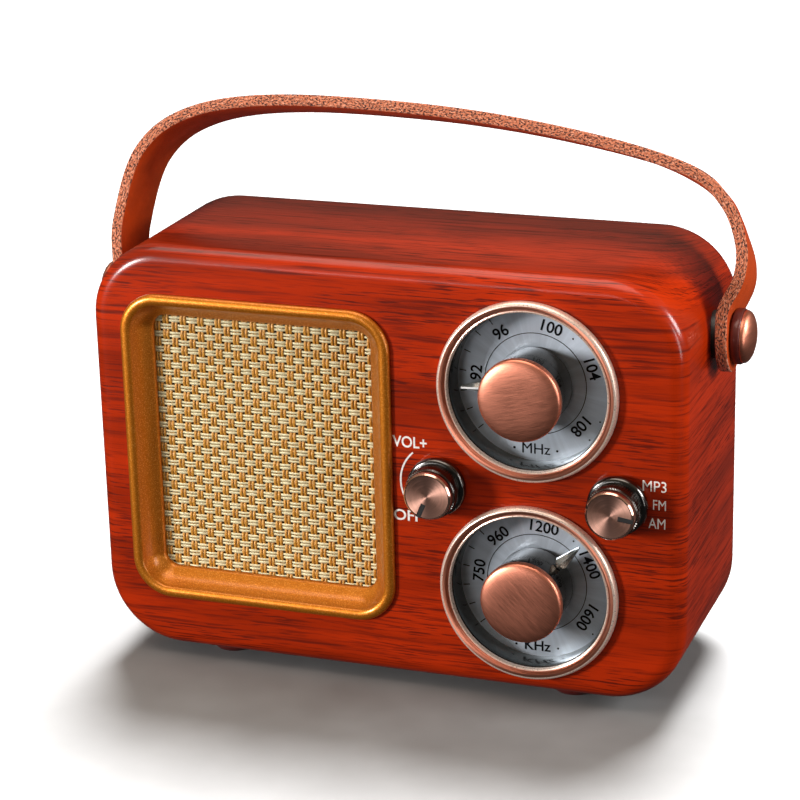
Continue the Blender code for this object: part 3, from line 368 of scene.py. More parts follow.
def dial_plate(colours, centre):
    """Bright plate spun round its middle, so its highlight spreads into soft rays."""
    finish = Finish("dial_plate", colours.plate, 0.33, 0.62, Anisotropic=0.5)
    tangent = finish.add("Tangent", direction_type="RADIAL", axis="Y")
    finish.feed("Tangent", tangent.outputs["Tangent"])
    parts = finish.add("SeparateXYZ", {0: finish.place(shift=(-centre.x, 0, -centre.z))})
    heading = finish.math("ARCTAN2", parts.outputs[0], parts.outputs[2])
    rays = finish.noise(finish.add("CombineXYZ", {0: heading}).outputs[0], 5.0, 3.0, 0.6)
    finish.feed("Base Color", finish.ramp(rays, [(0.30, scaled(colours.plate, 0.88)),
                                                 (0.50, colours.plate),
                                                 (0.72, scaled(colours.plate, 1.15))]))
    return finish.material


def yarn(name, shade, along, across):
    """Glossy twisted yarn: light and dark strands slant round it."""
    finish = Finish(name, shade, 0.34, 0.1, Sheen_Weight=0.1, Sheen_Roughness=0.4,
                    Specular_IOR_Level=0.8)
    slant = finish.add("TexWave", {"Vector": finish.place(along), "Scale": 1.0,
                                   "Distortion": 1.5, "Detail": 2.0}, bands_direction="DIAGONAL")
    strands = finish.noise(finish.place(across), 1.0, 3.0, 0.6)
    tone = finish.blend(0.5, slant.outputs["Fac"], strands)
    finish.feed("Base Color", finish.ramp(tone, [(0.28, scaled(shade, 0.22)),
                                                 (0.50, shade),
                                                 (0.80, scaled(shade, 1.35))]))
    finish.bump(tone, 0.00006, 0.7)
    return finish.material


def leather_face(colours):
    finish = Finish("leather_face", colours.leather, 0.46, Specular_IOR_Level=0.4)
    where = finish.place()
    cloud = finish.noise(where, 120, 4.0, 0.6)
    pores = finish.add("TexVoronoi", {"Vector": where, "Scale": 2600}, feature="DISTANCE_TO_EDGE")
    grain = finish.span(pores.outputs["Distance"], 0.0, 0.18)
    base = finish.ramp(cloud, [(0.30, scaled(colours.leather, 0.62)),
                               (0.52, colours.leather),
                               (0.75, scaled(colours.leather, 1.3))])
    finish.feed("Base Color", finish.blend(finish.math("MULTIPLY", grain, 0.9),
                                           scaled(colours.leather, 0.75), base))
    finish.feed("Roughness", finish.span(cloud, 0.3, 0.7, 0.52, 0.38))
    finish.bump(grain, 0.00005, 0.35)
    return finish.material


def leather_edge(colours):
    """Raw cut edge: layers along the strap, with fibres and rows of dark pores."""
    finish = Finish("leather_edge", colours.leather_edge, 0.72, Sheen_Weight=0.2,
                    Specular_IOR_Level=0.25)
    layers = finish.noise(finish.place((110, 4200, 1), uv="strap"), 1.0, 3.0, 0.6)
    fibres = finish.noise(finish.place((900, 2400, 1), uv="strap"), 1.0, 4.0, 0.7)
    pits = finish.span(finish.noise(finish.place((1500, 2700, 1), uv="strap"), 1.0, 1.5, 0.5),
                       0.50, 0.58)
    rows = finish.span(layers, 0.36, 0.50)
    pores = finish.math("MULTIPLY", pits, rows)
    tone = finish.ramp(fibres, [(0.25, scaled(colours.leather_edge, 0.50)),
                                (0.50, colours.leather_edge), (0.72, (0.95, 0.50, 0.34))])
    seamed = finish.blend(finish.span(layers, 0.62, 0.75, 0.0, 0.6), tone, (0.30, 0.06, 0.02))
    finish.feed("Base Color", finish.blend(pores, seamed, (0.055, 0.009, 0.004)))
    height = finish.math("SUBTRACT", finish.math("MULTIPLY", fibres, 0.6), pores)
    finish.bump(height, 0.00025, 0.9)
    return finish.material


def plain(name, shade, roughness, metallic=0.0, grain=900, depth=0.00002, **sockets):
    """A moulded, painted or plated surface with fine grain and slightly uneven gloss."""
    finish = Finish(name, shade, roughness, metallic, **sockets)
    fine = finish.noise(finish.place(), grain, 3.0, 0.6)
    finish.feed("Roughness", finish.span(fine, 0.3, 0.7, roughness * 0.85, roughness * 1.2))
    finish.feed("Base Color", finish.ramp(fine, [(0.3, scaled(shade, 0.85)),
                                                 (0.7, scaled(shade, 1.12))]))
    finish.bump(fine, depth, 0.5)
    return finish.material


# ---------------------------------------------------------------- modelling helpers
class PieceMaker:
    """What the operators share: each builds its pieces from the scene's settings."""

    def execute(self, context):
        self.build(context.scene)
        return {"FINISHED"}


def settle(bm):
    """Merges doubled points and turns every face outwards."""
    bmesh.ops.remove_doubles(bm, verts=bm.verts, dist=1e-6)
    bmesh.ops.recalc_face_normals(bm, faces=bm.faces)
    if bm.calc_volume(signed=True) < 0:
        bmesh.ops.reverse_faces(bm, faces=bm.faces)


def make_piece(name, bm, materials, body, replaces=(), sharp=35):
    """Gives a finished shape its name, materials, body and slot."""
    mesh = bpy.data.meshes.new(name)
    bm.to_mesh(mesh)
    bm.free()
    mesh.shade_smooth()
    mesh.set_sharp_from_angle(angle=math.radians(sharp))
    for material in materials if isinstance(materials, (list, tuple)) else [materials]:
        mesh.materials.append(material)
    piece = bpy.data.objects.new(name, mesh)
    bpy.context.scene.collection.objects.link(piece)
    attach(piece, body)
    if replaces:
        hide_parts(*replaces)
    return piece


def round_edges(bm, radius, segments=3, sharper_than=30, chosen=None):
    edges = [edge for edge in bm.edges if len(edge.link_faces) == 2
             and edge.calc_face_angle(0) > math.radians(sharper_than)
             and (chosen is None or chosen(edge))]
    bmesh.ops.bevel(bm, geom=edges, offset=radius, offset_type="OFFSET", segments=segments,
                    profile=0.5, affect="EDGES", material=-1, clamp_overlap=True)


def spun(profile, centre, facing, steps=96, edge=0.0, segments=3):
    """Spins (radius, height) points round their axis; one that starts on the axis is solid."""
    bm = bmesh.new()
    verts = [bm.verts.new((radius, 0, height)) for radius, height in profile]
    edges = [bm.edges.new(pair) for pair in zip(verts, verts[1:])]
    if profile[0][0] > 0:
        edges.append(bm.edges.new((verts[-1], verts[0])))
    bmesh.ops.spin(bm, geom=verts + edges, cent=(0, 0, 0), axis=(0, 0, 1), angle=math.tau,
                   steps=steps, use_merge=True)
    settle(bm)
    if edge:
        round_edges(bm, edge, segments)
    bmesh.ops.transform(bm, matrix=Matrix.Translation(centre) @ facing, verts=bm.verts)
    return bm


def block(size, centre, edge=0.0, segments=3):
    bm = bmesh.new()
    box_at(bm, Matrix.Translation(centre), size)
    if edge:
        round_edges(bm, edge, segments)
    return bm


def outline(width, height, radius, centre, y, steps=12):
    """Points round a rounded rectangle that faces the front."""
    points = []
    for quarter, (side, rise) in enumerate(((1, 1), (-1, 1), (-1, -1), (1, -1))):
        corner = centre + Vector((side * (width / 2 - radius), 0, rise * (height / 2 - radius)))
        for step in range(steps + 1):
            turn = math.radians(90 * (quarter + step / steps))
            points.append(Vector((corner.x + radius * math.cos(turn), y,
                                  corner.z + radius * math.sin(turn))))
    return points


def circle(radius, centre, y, steps=96):
    return [Vector((centre.x + radius * math.cos(math.tau * step / steps), y,
                    centre.z + radius * math.sin(math.tau * step / steps)))
            for step in range(steps)]


def closed_line(bm, points):
    verts = [bm.verts.new(point) for point in points]
    return verts, [bm.edges.new(pair) for pair in zip(verts, verts[1:] + verts[:1])]


def loft(rings, ring_closed=False):
    """Extrudes a closed line from each outline to the next, and caps both ends."""
    bm = bmesh.new()
    line, edges = closed_line(bm, rings[0])
    ends = [edges]
    for ring in rings[1:]:
        made = bmesh.ops.extrude_edge_only(bm, edges=edges)["geom"]
        fresh = {item for item in made if isinstance(item, bmesh.types.BMVert)}
        line = [next(edge.other_vert(vert) for edge in vert.link_edges
                     if edge.other_vert(vert) in fresh) for vert in line]
        edges = [item for item in made if isinstance(item, bmesh.types.BMEdge)
                 and all(vert in fresh for vert in item.verts)]
        for vert, point in zip(line, ring):
            vert.co = point
    if not ring_closed:
        for end in (ends[0], edges):
            bmesh.ops.edgeloop_fill(bm, edges=end)
    settle(bm)
    return bm


def fill_between(bm, edges, holes, facing):
    """Fills a flat face round its holes."""
    for hole in holes:
        edges = edges + closed_line(bm, hole)[1]
    bmesh.ops.triangle_fill(bm, use_beauty=True, edges=edges, normal=facing)


def repeated(bm, matrices):
    """One mesh with a copy of a small shape at each matrix."""
    one = bpy.data.meshes.new("one")
    bm.to_mesh(one)
    bm.free()
    many = bmesh.new()
    for matrix in matrices:
        copy = one.copy()
        copy.transform(matrix)
        many.from_mesh(copy)
        bpy.data.meshes.remove(copy)
    bpy.data.meshes.remove(one)
    return many


def lettering(bm, text, size, matrix, width=None):
    """Adds flat printed letters, facing the front, to a mesh in the making."""
    curve = bpy.data.curves.new("lettering", "FONT")
    curve.body, curve.size, curve.extrude = text, size, PRINT / 2
    curve.align_x, curve.align_y, curve.resolution_u = "CENTER", "CENTER", 5
    curve.offset = 0.0 if "M" in text else size * 0.014
    writing = bpy.data.objects.new("lettering", curve)
    bpy.context.scene.collection.objects.link(writing)
    graph = bpy.context.evaluated_depsgraph_get()
    mesh = bpy.data.meshes.new_from_object(writing.evaluated_get(graph))
    if width:
        across = [vert.co.x for vert in mesh.vertices]
        mesh.transform(Matrix.Diagonal((width / (max(across) - min(across)), 1, 1, 1)))
    mesh.transform(matrix)
    bm.from_mesh(mesh)
    bpy.data.objects.remove(writing)
    bpy.data.curves.remove(curve)
    bpy.data.meshes.remove(mesh)


def box_at(bm, matrix, size):
    bmesh.ops.create_cube(bm, size=1.0, matrix=matrix @ Matrix.Diagonal((*size, 1)))


def disc_at(bm, matrix, radius, sides):
    bmesh.ops.create_cone(bm, cap_ends=True, segments=sides, radius1=radius, radius2=radius,
                          depth=PRINT, matrix=matrix)


def on_face(centre, height, heading=0.0, radius=0.0):
    """A place on a round or flat face: radius out at a clockwise heading, turned to suit."""
    return (Matrix.Translation((centre.x, FRONT - height, centre.z)) @ FACING_FRONT
            @ Matrix.Rotation(-heading, 4, "Z") @ Matrix.Translation((0, radius, 0)))


def dress(node, material):
    """A better material on a part that keeps its own shape."""
    part = frame["nodes"][node]
    for slot in part.material_slots:
        slot.material = material


# ---------------------------------------------------------------- cabinet
def map_grain(bm, middle_z, half_width, half_height, corner):
    """Unrolls the grain: level over the front, on round the sides, and back over the top."""
    layer = bm.loops.layers.uv.new("grain")
    for face in bm.faces:
        for loop in face.loops:
            x, y, z = loop.vert.co
            inner_x = max(-half_width + corner, min(half_width - corner, x))
            inner_z = middle_z + max(-half_height + corner, min(half_height - corner, z - middle_z))
            out = Vector((x - inner_x, z - inner_z))
            share = out.y ** 2 / out.length_squared if out.length_squared > 1e-12 else 0.0
            depth = y - FRONT
            loop[layer].uv = (x + math.copysign(1 - share, out.x) * depth,
                              z + math.copysign(share, out.y) * depth)


class RADIO_OT_cabinet(PieceMaker, bpy.types.Operator):
    """Moulded cabinet with its wood grain, and the bosses that the strap turns on"""

    bl_idname = "radio.cabinet"
    bl_label = "Cabinet"

    def build(self, scene):
        sizes, speaker = scene.radio_cabinet, scene.radio_speaker
        colours = scene.radio_colours
        half_width = high("cabinet_shell").x - sizes.boss
        mid = Vector((0, (FRONT + BACK) / 2, (BOTTOM + TOP) / 2))
        bm = block((2 * half_width, BACK - FRONT, TOP - BOTTOM), mid)

        def round_loop(radius, segments, test):
            edges = [edge for edge in bm.edges if test(edge)]
            bmesh.ops.bevel(bm, geom=edges, offset=radius, offset_type="OFFSET",
                            segments=segments, profile=0.5, affect="EDGES", material=-1)

        def at(edge, y):
            return all(abs(vert.co.y - y) < 1e-6 for vert in edge.verts)

        round_loop(sizes.corner, 24, lambda edge: not at(edge, FRONT) and not at(edge, BACK))
        round_loop(sizes.front_rounding, 8, lambda edge: at(edge, FRONT))
        round_loop(sizes.rear_rounding, 12, lambda edge: at(edge, BACK))
        ends = {round(face.calc_center_median().y, 5): face for face in bm.faces
                if len(face.verts) > 8}
        front, back = ends[min(ends)], ends[max(ends)]
        bmesh.ops.inset_individual(bm, faces=[front], thickness=0.0008, use_even_offset=True)
        rim = list(front.edges)
        bmesh.ops.delete(bm, geom=[front, back], context="FACES_ONLY")
        frame_mid = middle("speaker_frame")
        neck = 2 * (speaker.neck_inset - sizes.cover_gap)
        frame_size = size_of("speaker_frame")
        holes = [outline(frame_size.x - neck, frame_size.z - neck, speaker.corner - neck / 2,
                         frame_mid, FRONT)]
        for label in ("fm", "am"):
            pan = middle(label + "_dial_pan")
            radius = size_of(label + "_dial_pan").x / 2
            holes.append(circle(radius + sizes.cover_gap, pan, FRONT))
        for label in ("volume", "band"):
            holes.append(circle(0.0034, middle(label + "_knob_body"), FRONT, 32))
        fill_between(bm, rim, holes, (0, -1, 0))
        bmesh.ops.recalc_face_normals(bm, faces=bm.faces)
        leftmost = min(bm.faces, key=lambda face: face.calc_center_median().x)
        if leftmost.normal.x > 0:
            bmesh.ops.reverse_faces(bm, faces=bm.faces)
        bmesh.ops.solidify(bm, geom=bm.faces[:], thickness=sizes.wall)
        if min(vert.co.z for vert in bm.verts) < BOTTOM - 1e-5:
            raise RuntimeError("the cabinet's wall has grown outwards")
        settle(bm)
        map_grain(bm, mid.z, half_width, (TOP - BOTTOM) / 2, sizes.corner)
        make_piece("cabinet_case", bm, wood_grain(colours), "cabinet",
                   ["cabinet_shell"])
        black = plain("boss_plastic", colours.black, 0.45)
        pivot = joint_place("handle_swing")
        for label, side, facing in (("left", -1, FACING_LEFT), ("right", 1, FACING_RIGHT)):
            profile = [(0, -0.001), (sizes.boss_radius, -0.001), (sizes.boss_radius, sizes.boss),
                       (0, sizes.boss)]
            place = Vector((side * half_width, pivot.y, pivot.z))
            make_piece(label + "_strap_boss", spun(profile, place, facing, 48, 0.0002), black,
                       "cabinet")


class RADIO_OT_feet(PieceMaker, bpy.types.Operator):
    """Four soft feet"""

    bl_idname = "radio.feet"
    bl_label = "Feet"

    def build(self, scene):
        rubber = plain("foot_rubber", (0.085, 0.008, 0.006), 0.35, Coat_Weight=0.3)
        for node in ("foot_front_left", "foot_front_right", "foot_rear_left", "foot_rear_right"):
            radius, rise = size_of(node).x / 2, size_of(node).z
            profile = [(0, 0), (radius * 0.86, 0), (radius, rise * 0.4), (radius, rise), (0, rise)]
            centre = Vector((middle(node).x, middle(node).y, low(node).z))
            make_piece(node + "_pad", spun(profile, centre, UPRIGHT, 48, 0.0003), rubber,
                       "cabinet", [node])


# ---------------------------------------------------------------- speaker
class RADIO_OT_speaker_frame(PieceMaker, bpy.types.Operator):
    """Gold frame: a rolled rim, and walls that slope in to the cloth"""

    bl_idname = "radio.speaker_frame"
    bl_label = "Speaker Frame"

    def build(self, scene):
        sizes = scene.radio_speaker
        low_corner, high_corner = low("speaker_frame"), high("speaker_frame")
        size, centre = high_corner - low_corner, middle("speaker_frame")
        proud, deep = FRONT - low_corner.y, high_corner.y - FRONT
        section = [(0.0, -0.0003), (0.0, -0.35 * proud)]
        for step in range(1, 12):
            turn = math.pi * step / 12
            section.append((sizes.rim / 2 * (1 - math.cos(turn)),
                            -proud * (0.35 + 0.65 * math.sin(turn))))
        slope_start = (sizes.rim, -0.35 * proud)
        section += [slope_start, (sizes.rim + 0.0003, 0.0)]
        for step in range(1, 7):
            share = step / 6
            bow = 0.00035 * math.sin(math.pi * share)
            section.append((sizes.rim + 0.0003 + (sizes.window_inset - sizes.rim - 0.0009) * share
                            - bow, (sizes.window_depth - 0.0003) * share + bow * 0.3))
        section += [(sizes.window_inset - 0.00025, sizes.window_depth),
                    (sizes.window_inset, sizes.window_depth + 0.0003), (sizes.window_inset, deep),
                    (sizes.neck_inset + 0.0025, deep), (sizes.neck_inset, deep - 0.0023),
                    (sizes.neck_inset, -0.0003), (0.0, -0.0003)]
        rings = [outline(size.x - 2 * inset, size.z - 2 * inset, sizes.corner - inset, centre,
                         FRONT + depth, 16) for inset, depth in section]
        make_piece("gold_frame", loft(rings, ring_closed=True),
                   gold_paint(scene.radio_colours), "cabinet",
                   ["speaker_frame"], sharp=50)


def one_yarn(run, pitch, half_width, half_thick, wave):
    """A yarn along X that goes over and under, with its crossings a pitch apart."""
    steps = int(round(run / pitch)) * 4
    rings = []
    for step in range(steps + 1):
        x = -run / 2 + run * step / steps
        phase = math.pi * x / pitch
        swing = math.cos(phase)
        depth = -wave * math.copysign(abs(swing) ** 0.8, swing)
        flat = 1.0 + 0.12 * swing
        rings.append([Vector((x, depth + half_thick / flat * math.sin(turn),
                              half_width * flat * math.cos(turn)))
                      for turn in (math.tau * (side + 0.5) / 6 for side in range(6))])
    return loft(rings)


class RADIO_OT_speaker_cloth(PieceMaker, bpy.types.Operator):
    """Woven speaker cloth: pairs of glossy yarns, over a dark ground"""

    bl_idname = "radio.speaker_cloth"
    bl_label = "Speaker Cloth"

    def build(self, scene):
        sizes, colours = scene.radio_speaker, scene.radio_colours
        size = size_of("speaker_cloth")
        centre = middle("speaker_cloth")
        across, up = sizes.bundle_across, sizes.bundle_up
        wave = sizes.yarn * 0.95
        columns, rows = int(size.x / across / 2), int(size.z / up / 2)
        level_matrices, upright_matrices = [], []
        for row in range(-rows, rows + 1):
            flip = Matrix.Rotation(math.pi * (row % 2), 4, "X")
            for offset in (-0.205, 0.205):
                place = Matrix.Translation(centre + Vector((0, 0, (row + offset) * up)))
                level_matrices.append(place @ flip)
        stand = Matrix.Rotation(math.pi / 2, 4, "Y")
        for column in range(-columns, columns + 1):
            flip = Matrix.Rotation(math.pi * ((column + 1) % 2), 4, "X")
            for offset in (-0.195, 0.195):
                place = Matrix.Translation(centre + Vector(((column + offset) * across, 0, 0)))
                upright_matrices.append(place @ stand @ flip)
        run_across = 2 * int(size.x / across / 2) * across + across
        run_up = 2 * int(size.z / up / 2) * up + up
        level = one_yarn(run_across, across, up * 0.178, sizes.yarn, wave)
        upright = one_yarn(run_up, up, across * 0.172, sizes.yarn, wave)
        cream = yarn("cream_yarn", colours.cream, (2600, 100, 5200), (500, 500, 4200))
        straw = yarn("gold_yarn", colours.straw, (5200, 100, 2600), (4200, 500, 500))
        woven = [make_piece("cloth_level_yarns", repeated(level, level_matrices), cream,
                            "cabinet", sharp=80),
                 make_piece("cloth_upright_yarns", repeated(upright, upright_matrices), straw,
                            "cabinet", sharp=80)]
        ground_y = centre.y + size.y / 2 - 0.00006
        ground = block((size.x, 0.0001, size.z), Vector((centre.x, ground_y, centre.z)))
        olive = plain("cloth_ground", (0.030, 0.010, 0.001), 0.9, grain=2500, depth=0.00005)
        sheet = make_piece("cloth_ground", ground, olive, "cabinet",
                           ["speaker_cloth"])


# ---------------------------------------------------------------- tuning dials
DIALS = {
    "fm": {"body": "fm_knob", "unit": "MHz", "unit_radius": 0.0170,
           "numerals": (("92", -84), ("96", -35), ("100", 15), ("104", 70), ("108", 130)),
           "ticks": (-131, -115, -100, -84, -68, -51, -37), "dots": ((38, 0.0156), (117, 0.0184),
                                                                   (134, 0.0191))},
    "am": {"body": "am_knob", "unit": "KHz", "unit_radius": 0.0173,
           "numerals": (("750", -84), ("960", -41), ("1200", 6.5), ("1400", 64), ("1600", 120)),
           "ticks": (-130, -114, -98, -82, -66, -50), "dots": ((130, 0.0190), (38, 0.0156))},
}


def print_dial(sizes, dial, centre):
    """Everything printed on one dial, as one thin raised mesh."""
    bm = bmesh.new()
    height = -sizes.plate_depth + 0.00005
    for text, heading in dial["numerals"]:
        lettering(bm, text, sizes.numeral, on_face(centre, height, math.radians(heading),
                                                   sizes.numeral_radius))
    lettering(bm, dial["unit"], sizes.numeral * 0.95,
              on_face(centre - Vector((0, 0, dial["unit_radius"])), height))
    for side in (-1, 1):
        spot = centre + Vector((side * 0.0055, 0, -dial["unit_radius"]))
        disc_at(bm, on_face(spot, height), 0.0003, 16)
    for heading, radius in dial["dots"]:
        disc_at(bm, on_face(centre, height, math.radians(heading), radius), 0.00022, 12)
    for heading in dial["ticks"]:
        box_at(bm, on_face(centre, height, math.radians(heading), sizes.tick_radius),
               (0.00022, 0.0017, PRINT))
    line = [(sizes.circle + side * 0.00009, height + rise * PRINT / 2)
            for side, rise in ((-1, -1), (1, -1), (1, 1), (-1, 1))]
    ring = spun(line, Vector((centre.x, FRONT, centre.z)), FACING_FRONT, 128)
    mesh = bpy.data.meshes.new("ring")
    ring.to_mesh(mesh)
    ring.free()
    bm.from_mesh(mesh)
    bpy.data.meshes.remove(mesh)
    return bm


class RADIO_OT_dials(PieceMaker, bpy.types.Operator):
    """Two tuning dials: bezel, wall, printed plate, knob, cap and pointer"""

    bl_idname = "radio.dials"
    bl_label = "Tuning Dials"

    def build(self, scene):
        sizes, colours = scene.radio_dials, scene.radio_colours
        chrome = dark_chrome(colours)
        ink = plain("dial_ink", (0.004, 0.004, 0.006), 0.7, Specular_IOR_Level=0.1)
        mirror = plain("dial_wall", (0.10, 0.105, 0.10), 0.16, 0.9)
        # pale cream metal for the bezel's outer roll and inner lip, lightened as a painted highlight on those
        # edges
        cream = plain("bezel_painted_highlight", (0.92, 0.70, 0.58), 0.30, 0.55, grain=2500)
        # white for a strip on the FM pointer's ridge: a painted reflection of light along the ridge
        white = plain("pointer_ridge_painted_reflection", (0.85, 0.85, 0.85), 0.4)
        steel = plain("pointer_steel", (0.62, 0.63, 0.60), 0.24, 0.9)
        for label, dial in DIALS.items():
            centre = middle(label + "_dial_pan")
            centre.y = FRONT
            outer = size_of(label + "_bezel").x / 2
            proud = FRONT - low(label + "_bezel").y
            inner = sizes.plate_radius + 0.0002
            width = outer - inner
            bezel = [(inner, 0.0003), (outer, 0.0003), (outer, proud * 0.45)]
            bezel += [(outer - width * 0.30 * (1 - math.cos(math.pi * step / 12)),
                       proud * (0.45 + 0.55 * math.sin(math.pi * step / 12)))
                      for step in range(1, 7)]
            bezel += [(outer - width * 0.55, proud * 0.97), (inner + width * 0.22, proud * 0.62),
                      (inner + width * 0.14, proud * 0.66), (inner + width * 0.06, proud * 0.60),
                      (inner, proud * 0.45)]
            spun_copper = copper(colours.copper, label + "_bezel_copper", "spun",
                                 centre=tuple(centre))
            ring = spun(bezel, centre, FACING_FRONT, 128)
            # faces on the outer roll and the inner lip take the pale metal: a painted highlight round the bezel's
            # edges
            for face in ring.faces:
                away = face.calc_center_median() - centre
                radius = math.hypot(away.x, away.z)
                if radius > outer - width * 0.36 or radius < inner + width * 0.24:
                    face.material_index = 1
            make_piece(label + "_bezel_ring", ring, [spun_copper, cream], "cabinet",
                       [label + "_bezel"], sharp=32)
            floor = -sizes.plate_depth
            outside = size_of(label + "_dial_pan").x / 2
            wall = [(sizes.plate_radius, floor), (outside, floor), (outside, 0.0),
                    (sizes.plate_radius, 0.0), (sizes.plate_radius - 0.0003, -0.0012)]
            make_piece(label + "_dial_wall", spun(wall, centre, FACING_FRONT, 128), mirror,
                       "cabinet")
            plate = [(0.0034, floor - 0.001), (outside, floor - 0.001),
                     (outside, floor - 0.00002), (sizes.plate_radius, floor - 0.00002),
                     (sizes.plate_radius, floor), (0.0034, floor)]
            make_piece(label + "_dial_plate", spun(plate, centre, FACING_FRONT, 128),
                       dial_plate(colours, centre), "cabinet",
                       [label + "_dial_pan"])
            make_piece(label + "_dial_print", print_dial(sizes, dial, centre), ink, "cabinet")
            self.make_knob(label, dial["body"], centre, sizes, colours, chrome, steel)
            # the FM pointer alone gets a thin white strip along its ridge, a painted reflection
            if label == "fm":
                face = FRONT - low("fm_pointer").y
                line = bmesh.new()
                box_at(line, on_face(centre, face - 0.00012, sizes.fm_pointer,
                                     (sizes.knob_radius + POINTER_TIP) / 2),
                       (0.00042, POINTER_TIP - sizes.knob_radius - 0.0006, 0.0003))
                make_piece("fm_ridge_painted_reflection", line, white, dial["body"])
            dress(label + "_tuning_shaft", chrome)

    def make_knob(self, label, body, centre, sizes, colours, chrome, steel):
        pointer = sizes.fm_pointer if label == "fm" else sizes.am_pointer
        back = -sizes.plate_depth + 0.0008
        cap_back = sizes.cap_rim - 0.0016
        profile = [(0, cap_back - 0.0003), (sizes.knob_radius, cap_back - 0.0003),
                   (sizes.knob_radius, back), (SHAFT_BORE, back), (SHAFT_BORE, cap_back - 0.0029),
                   (0, cap_back - 0.0029)]
        make_piece(label + "_knob_barrel", spun(profile, centre, FACING_FRONT, 96, 0.00025),
                   chrome, body, [label + "_knob_body"])
        cap = [(0, cap_back), (sizes.cap_radius, cap_back), (sizes.cap_radius, sizes.cap_rim)]
        cap += [(sizes.cap_radius * math.cos(math.radians(turn)) ** 0.55,
                 sizes.cap_rim + sizes.cap_crown * math.sin(math.radians(turn)) ** 1.0)
                for turn in (12, 24, 36, 48, 60, 72, 80)]
        cap.append((0, sizes.cap_rim + sizes.cap_crown))
        brush = sizes.fm_brush if label == "fm" else sizes.am_brush
        brushed = copper(colours.copper, label + "_cap_copper", "linear", turn=brush,
                         centre=tuple(centre))
        make_piece(label + "_knob_face", spun(cap, centre, FACING_FRONT, 96), brushed, body,
                   [label + "_knob_cap"], sharp=40)
        box_low, box_high = low(label + "_pointer"), high(label + "_pointer")
        face, back = FRONT - box_low.y, FRONT - box_high.y
        root, tip = sizes.knob_radius + 0.0002, POINTER_TIP
        rings = []
        for share, half in ((0.0, 0.0012), (0.12, 0.0017), (0.45, 0.0012), (0.92, 0.0004),
                            (1.0, 0.00022)):
            out = root + (tip - root) * share
            ridge = face - 0.0003 * share
            rings.append([Vector((-half, out, back)), Vector((half, out, back)),
                          Vector((half * 0.9, out, back + 0.0005)), Vector((0, out, ridge)),
                          Vector((-half * 0.9, out, back + 0.0005))])
        blade = loft(rings)
        bmesh.ops.transform(blade, matrix=on_face(centre, 0, pointer), verts=blade.verts)
        make_piece(label + "_pointer_blade", blade, steel, body,
                   [label + "_pointer"], sharp=20)


# ---------------------------------------------------------------- small knobs
def knurled(radius, depth, teeth, front, back, centre):
    """A band with fine upright teeth, closed at both ends."""
    points = []
    for tooth in range(teeth):
        for share, out in ((0.0, 0.0), (0.22, 0.0), (0.50, depth), (0.78, depth)):
            turn = math.tau * (tooth + share) / teeth
            points.append(((radius - depth + out) * math.cos(turn),
                           (radius - depth + out) * math.sin(turn)))
    rings = [[Vector((x * scale, y * scale, height)) for x, y in points]
             for scale, height in ((0.97, back), (1.0, back + 0.0002), (1.0, front - 0.0002),
                                   (0.97, front))]
    bm = loft(rings)
    bmesh.ops.transform(bm, matrix=Matrix.Translation(centre) @ FACING_FRONT, verts=bm.verts)
    return bm


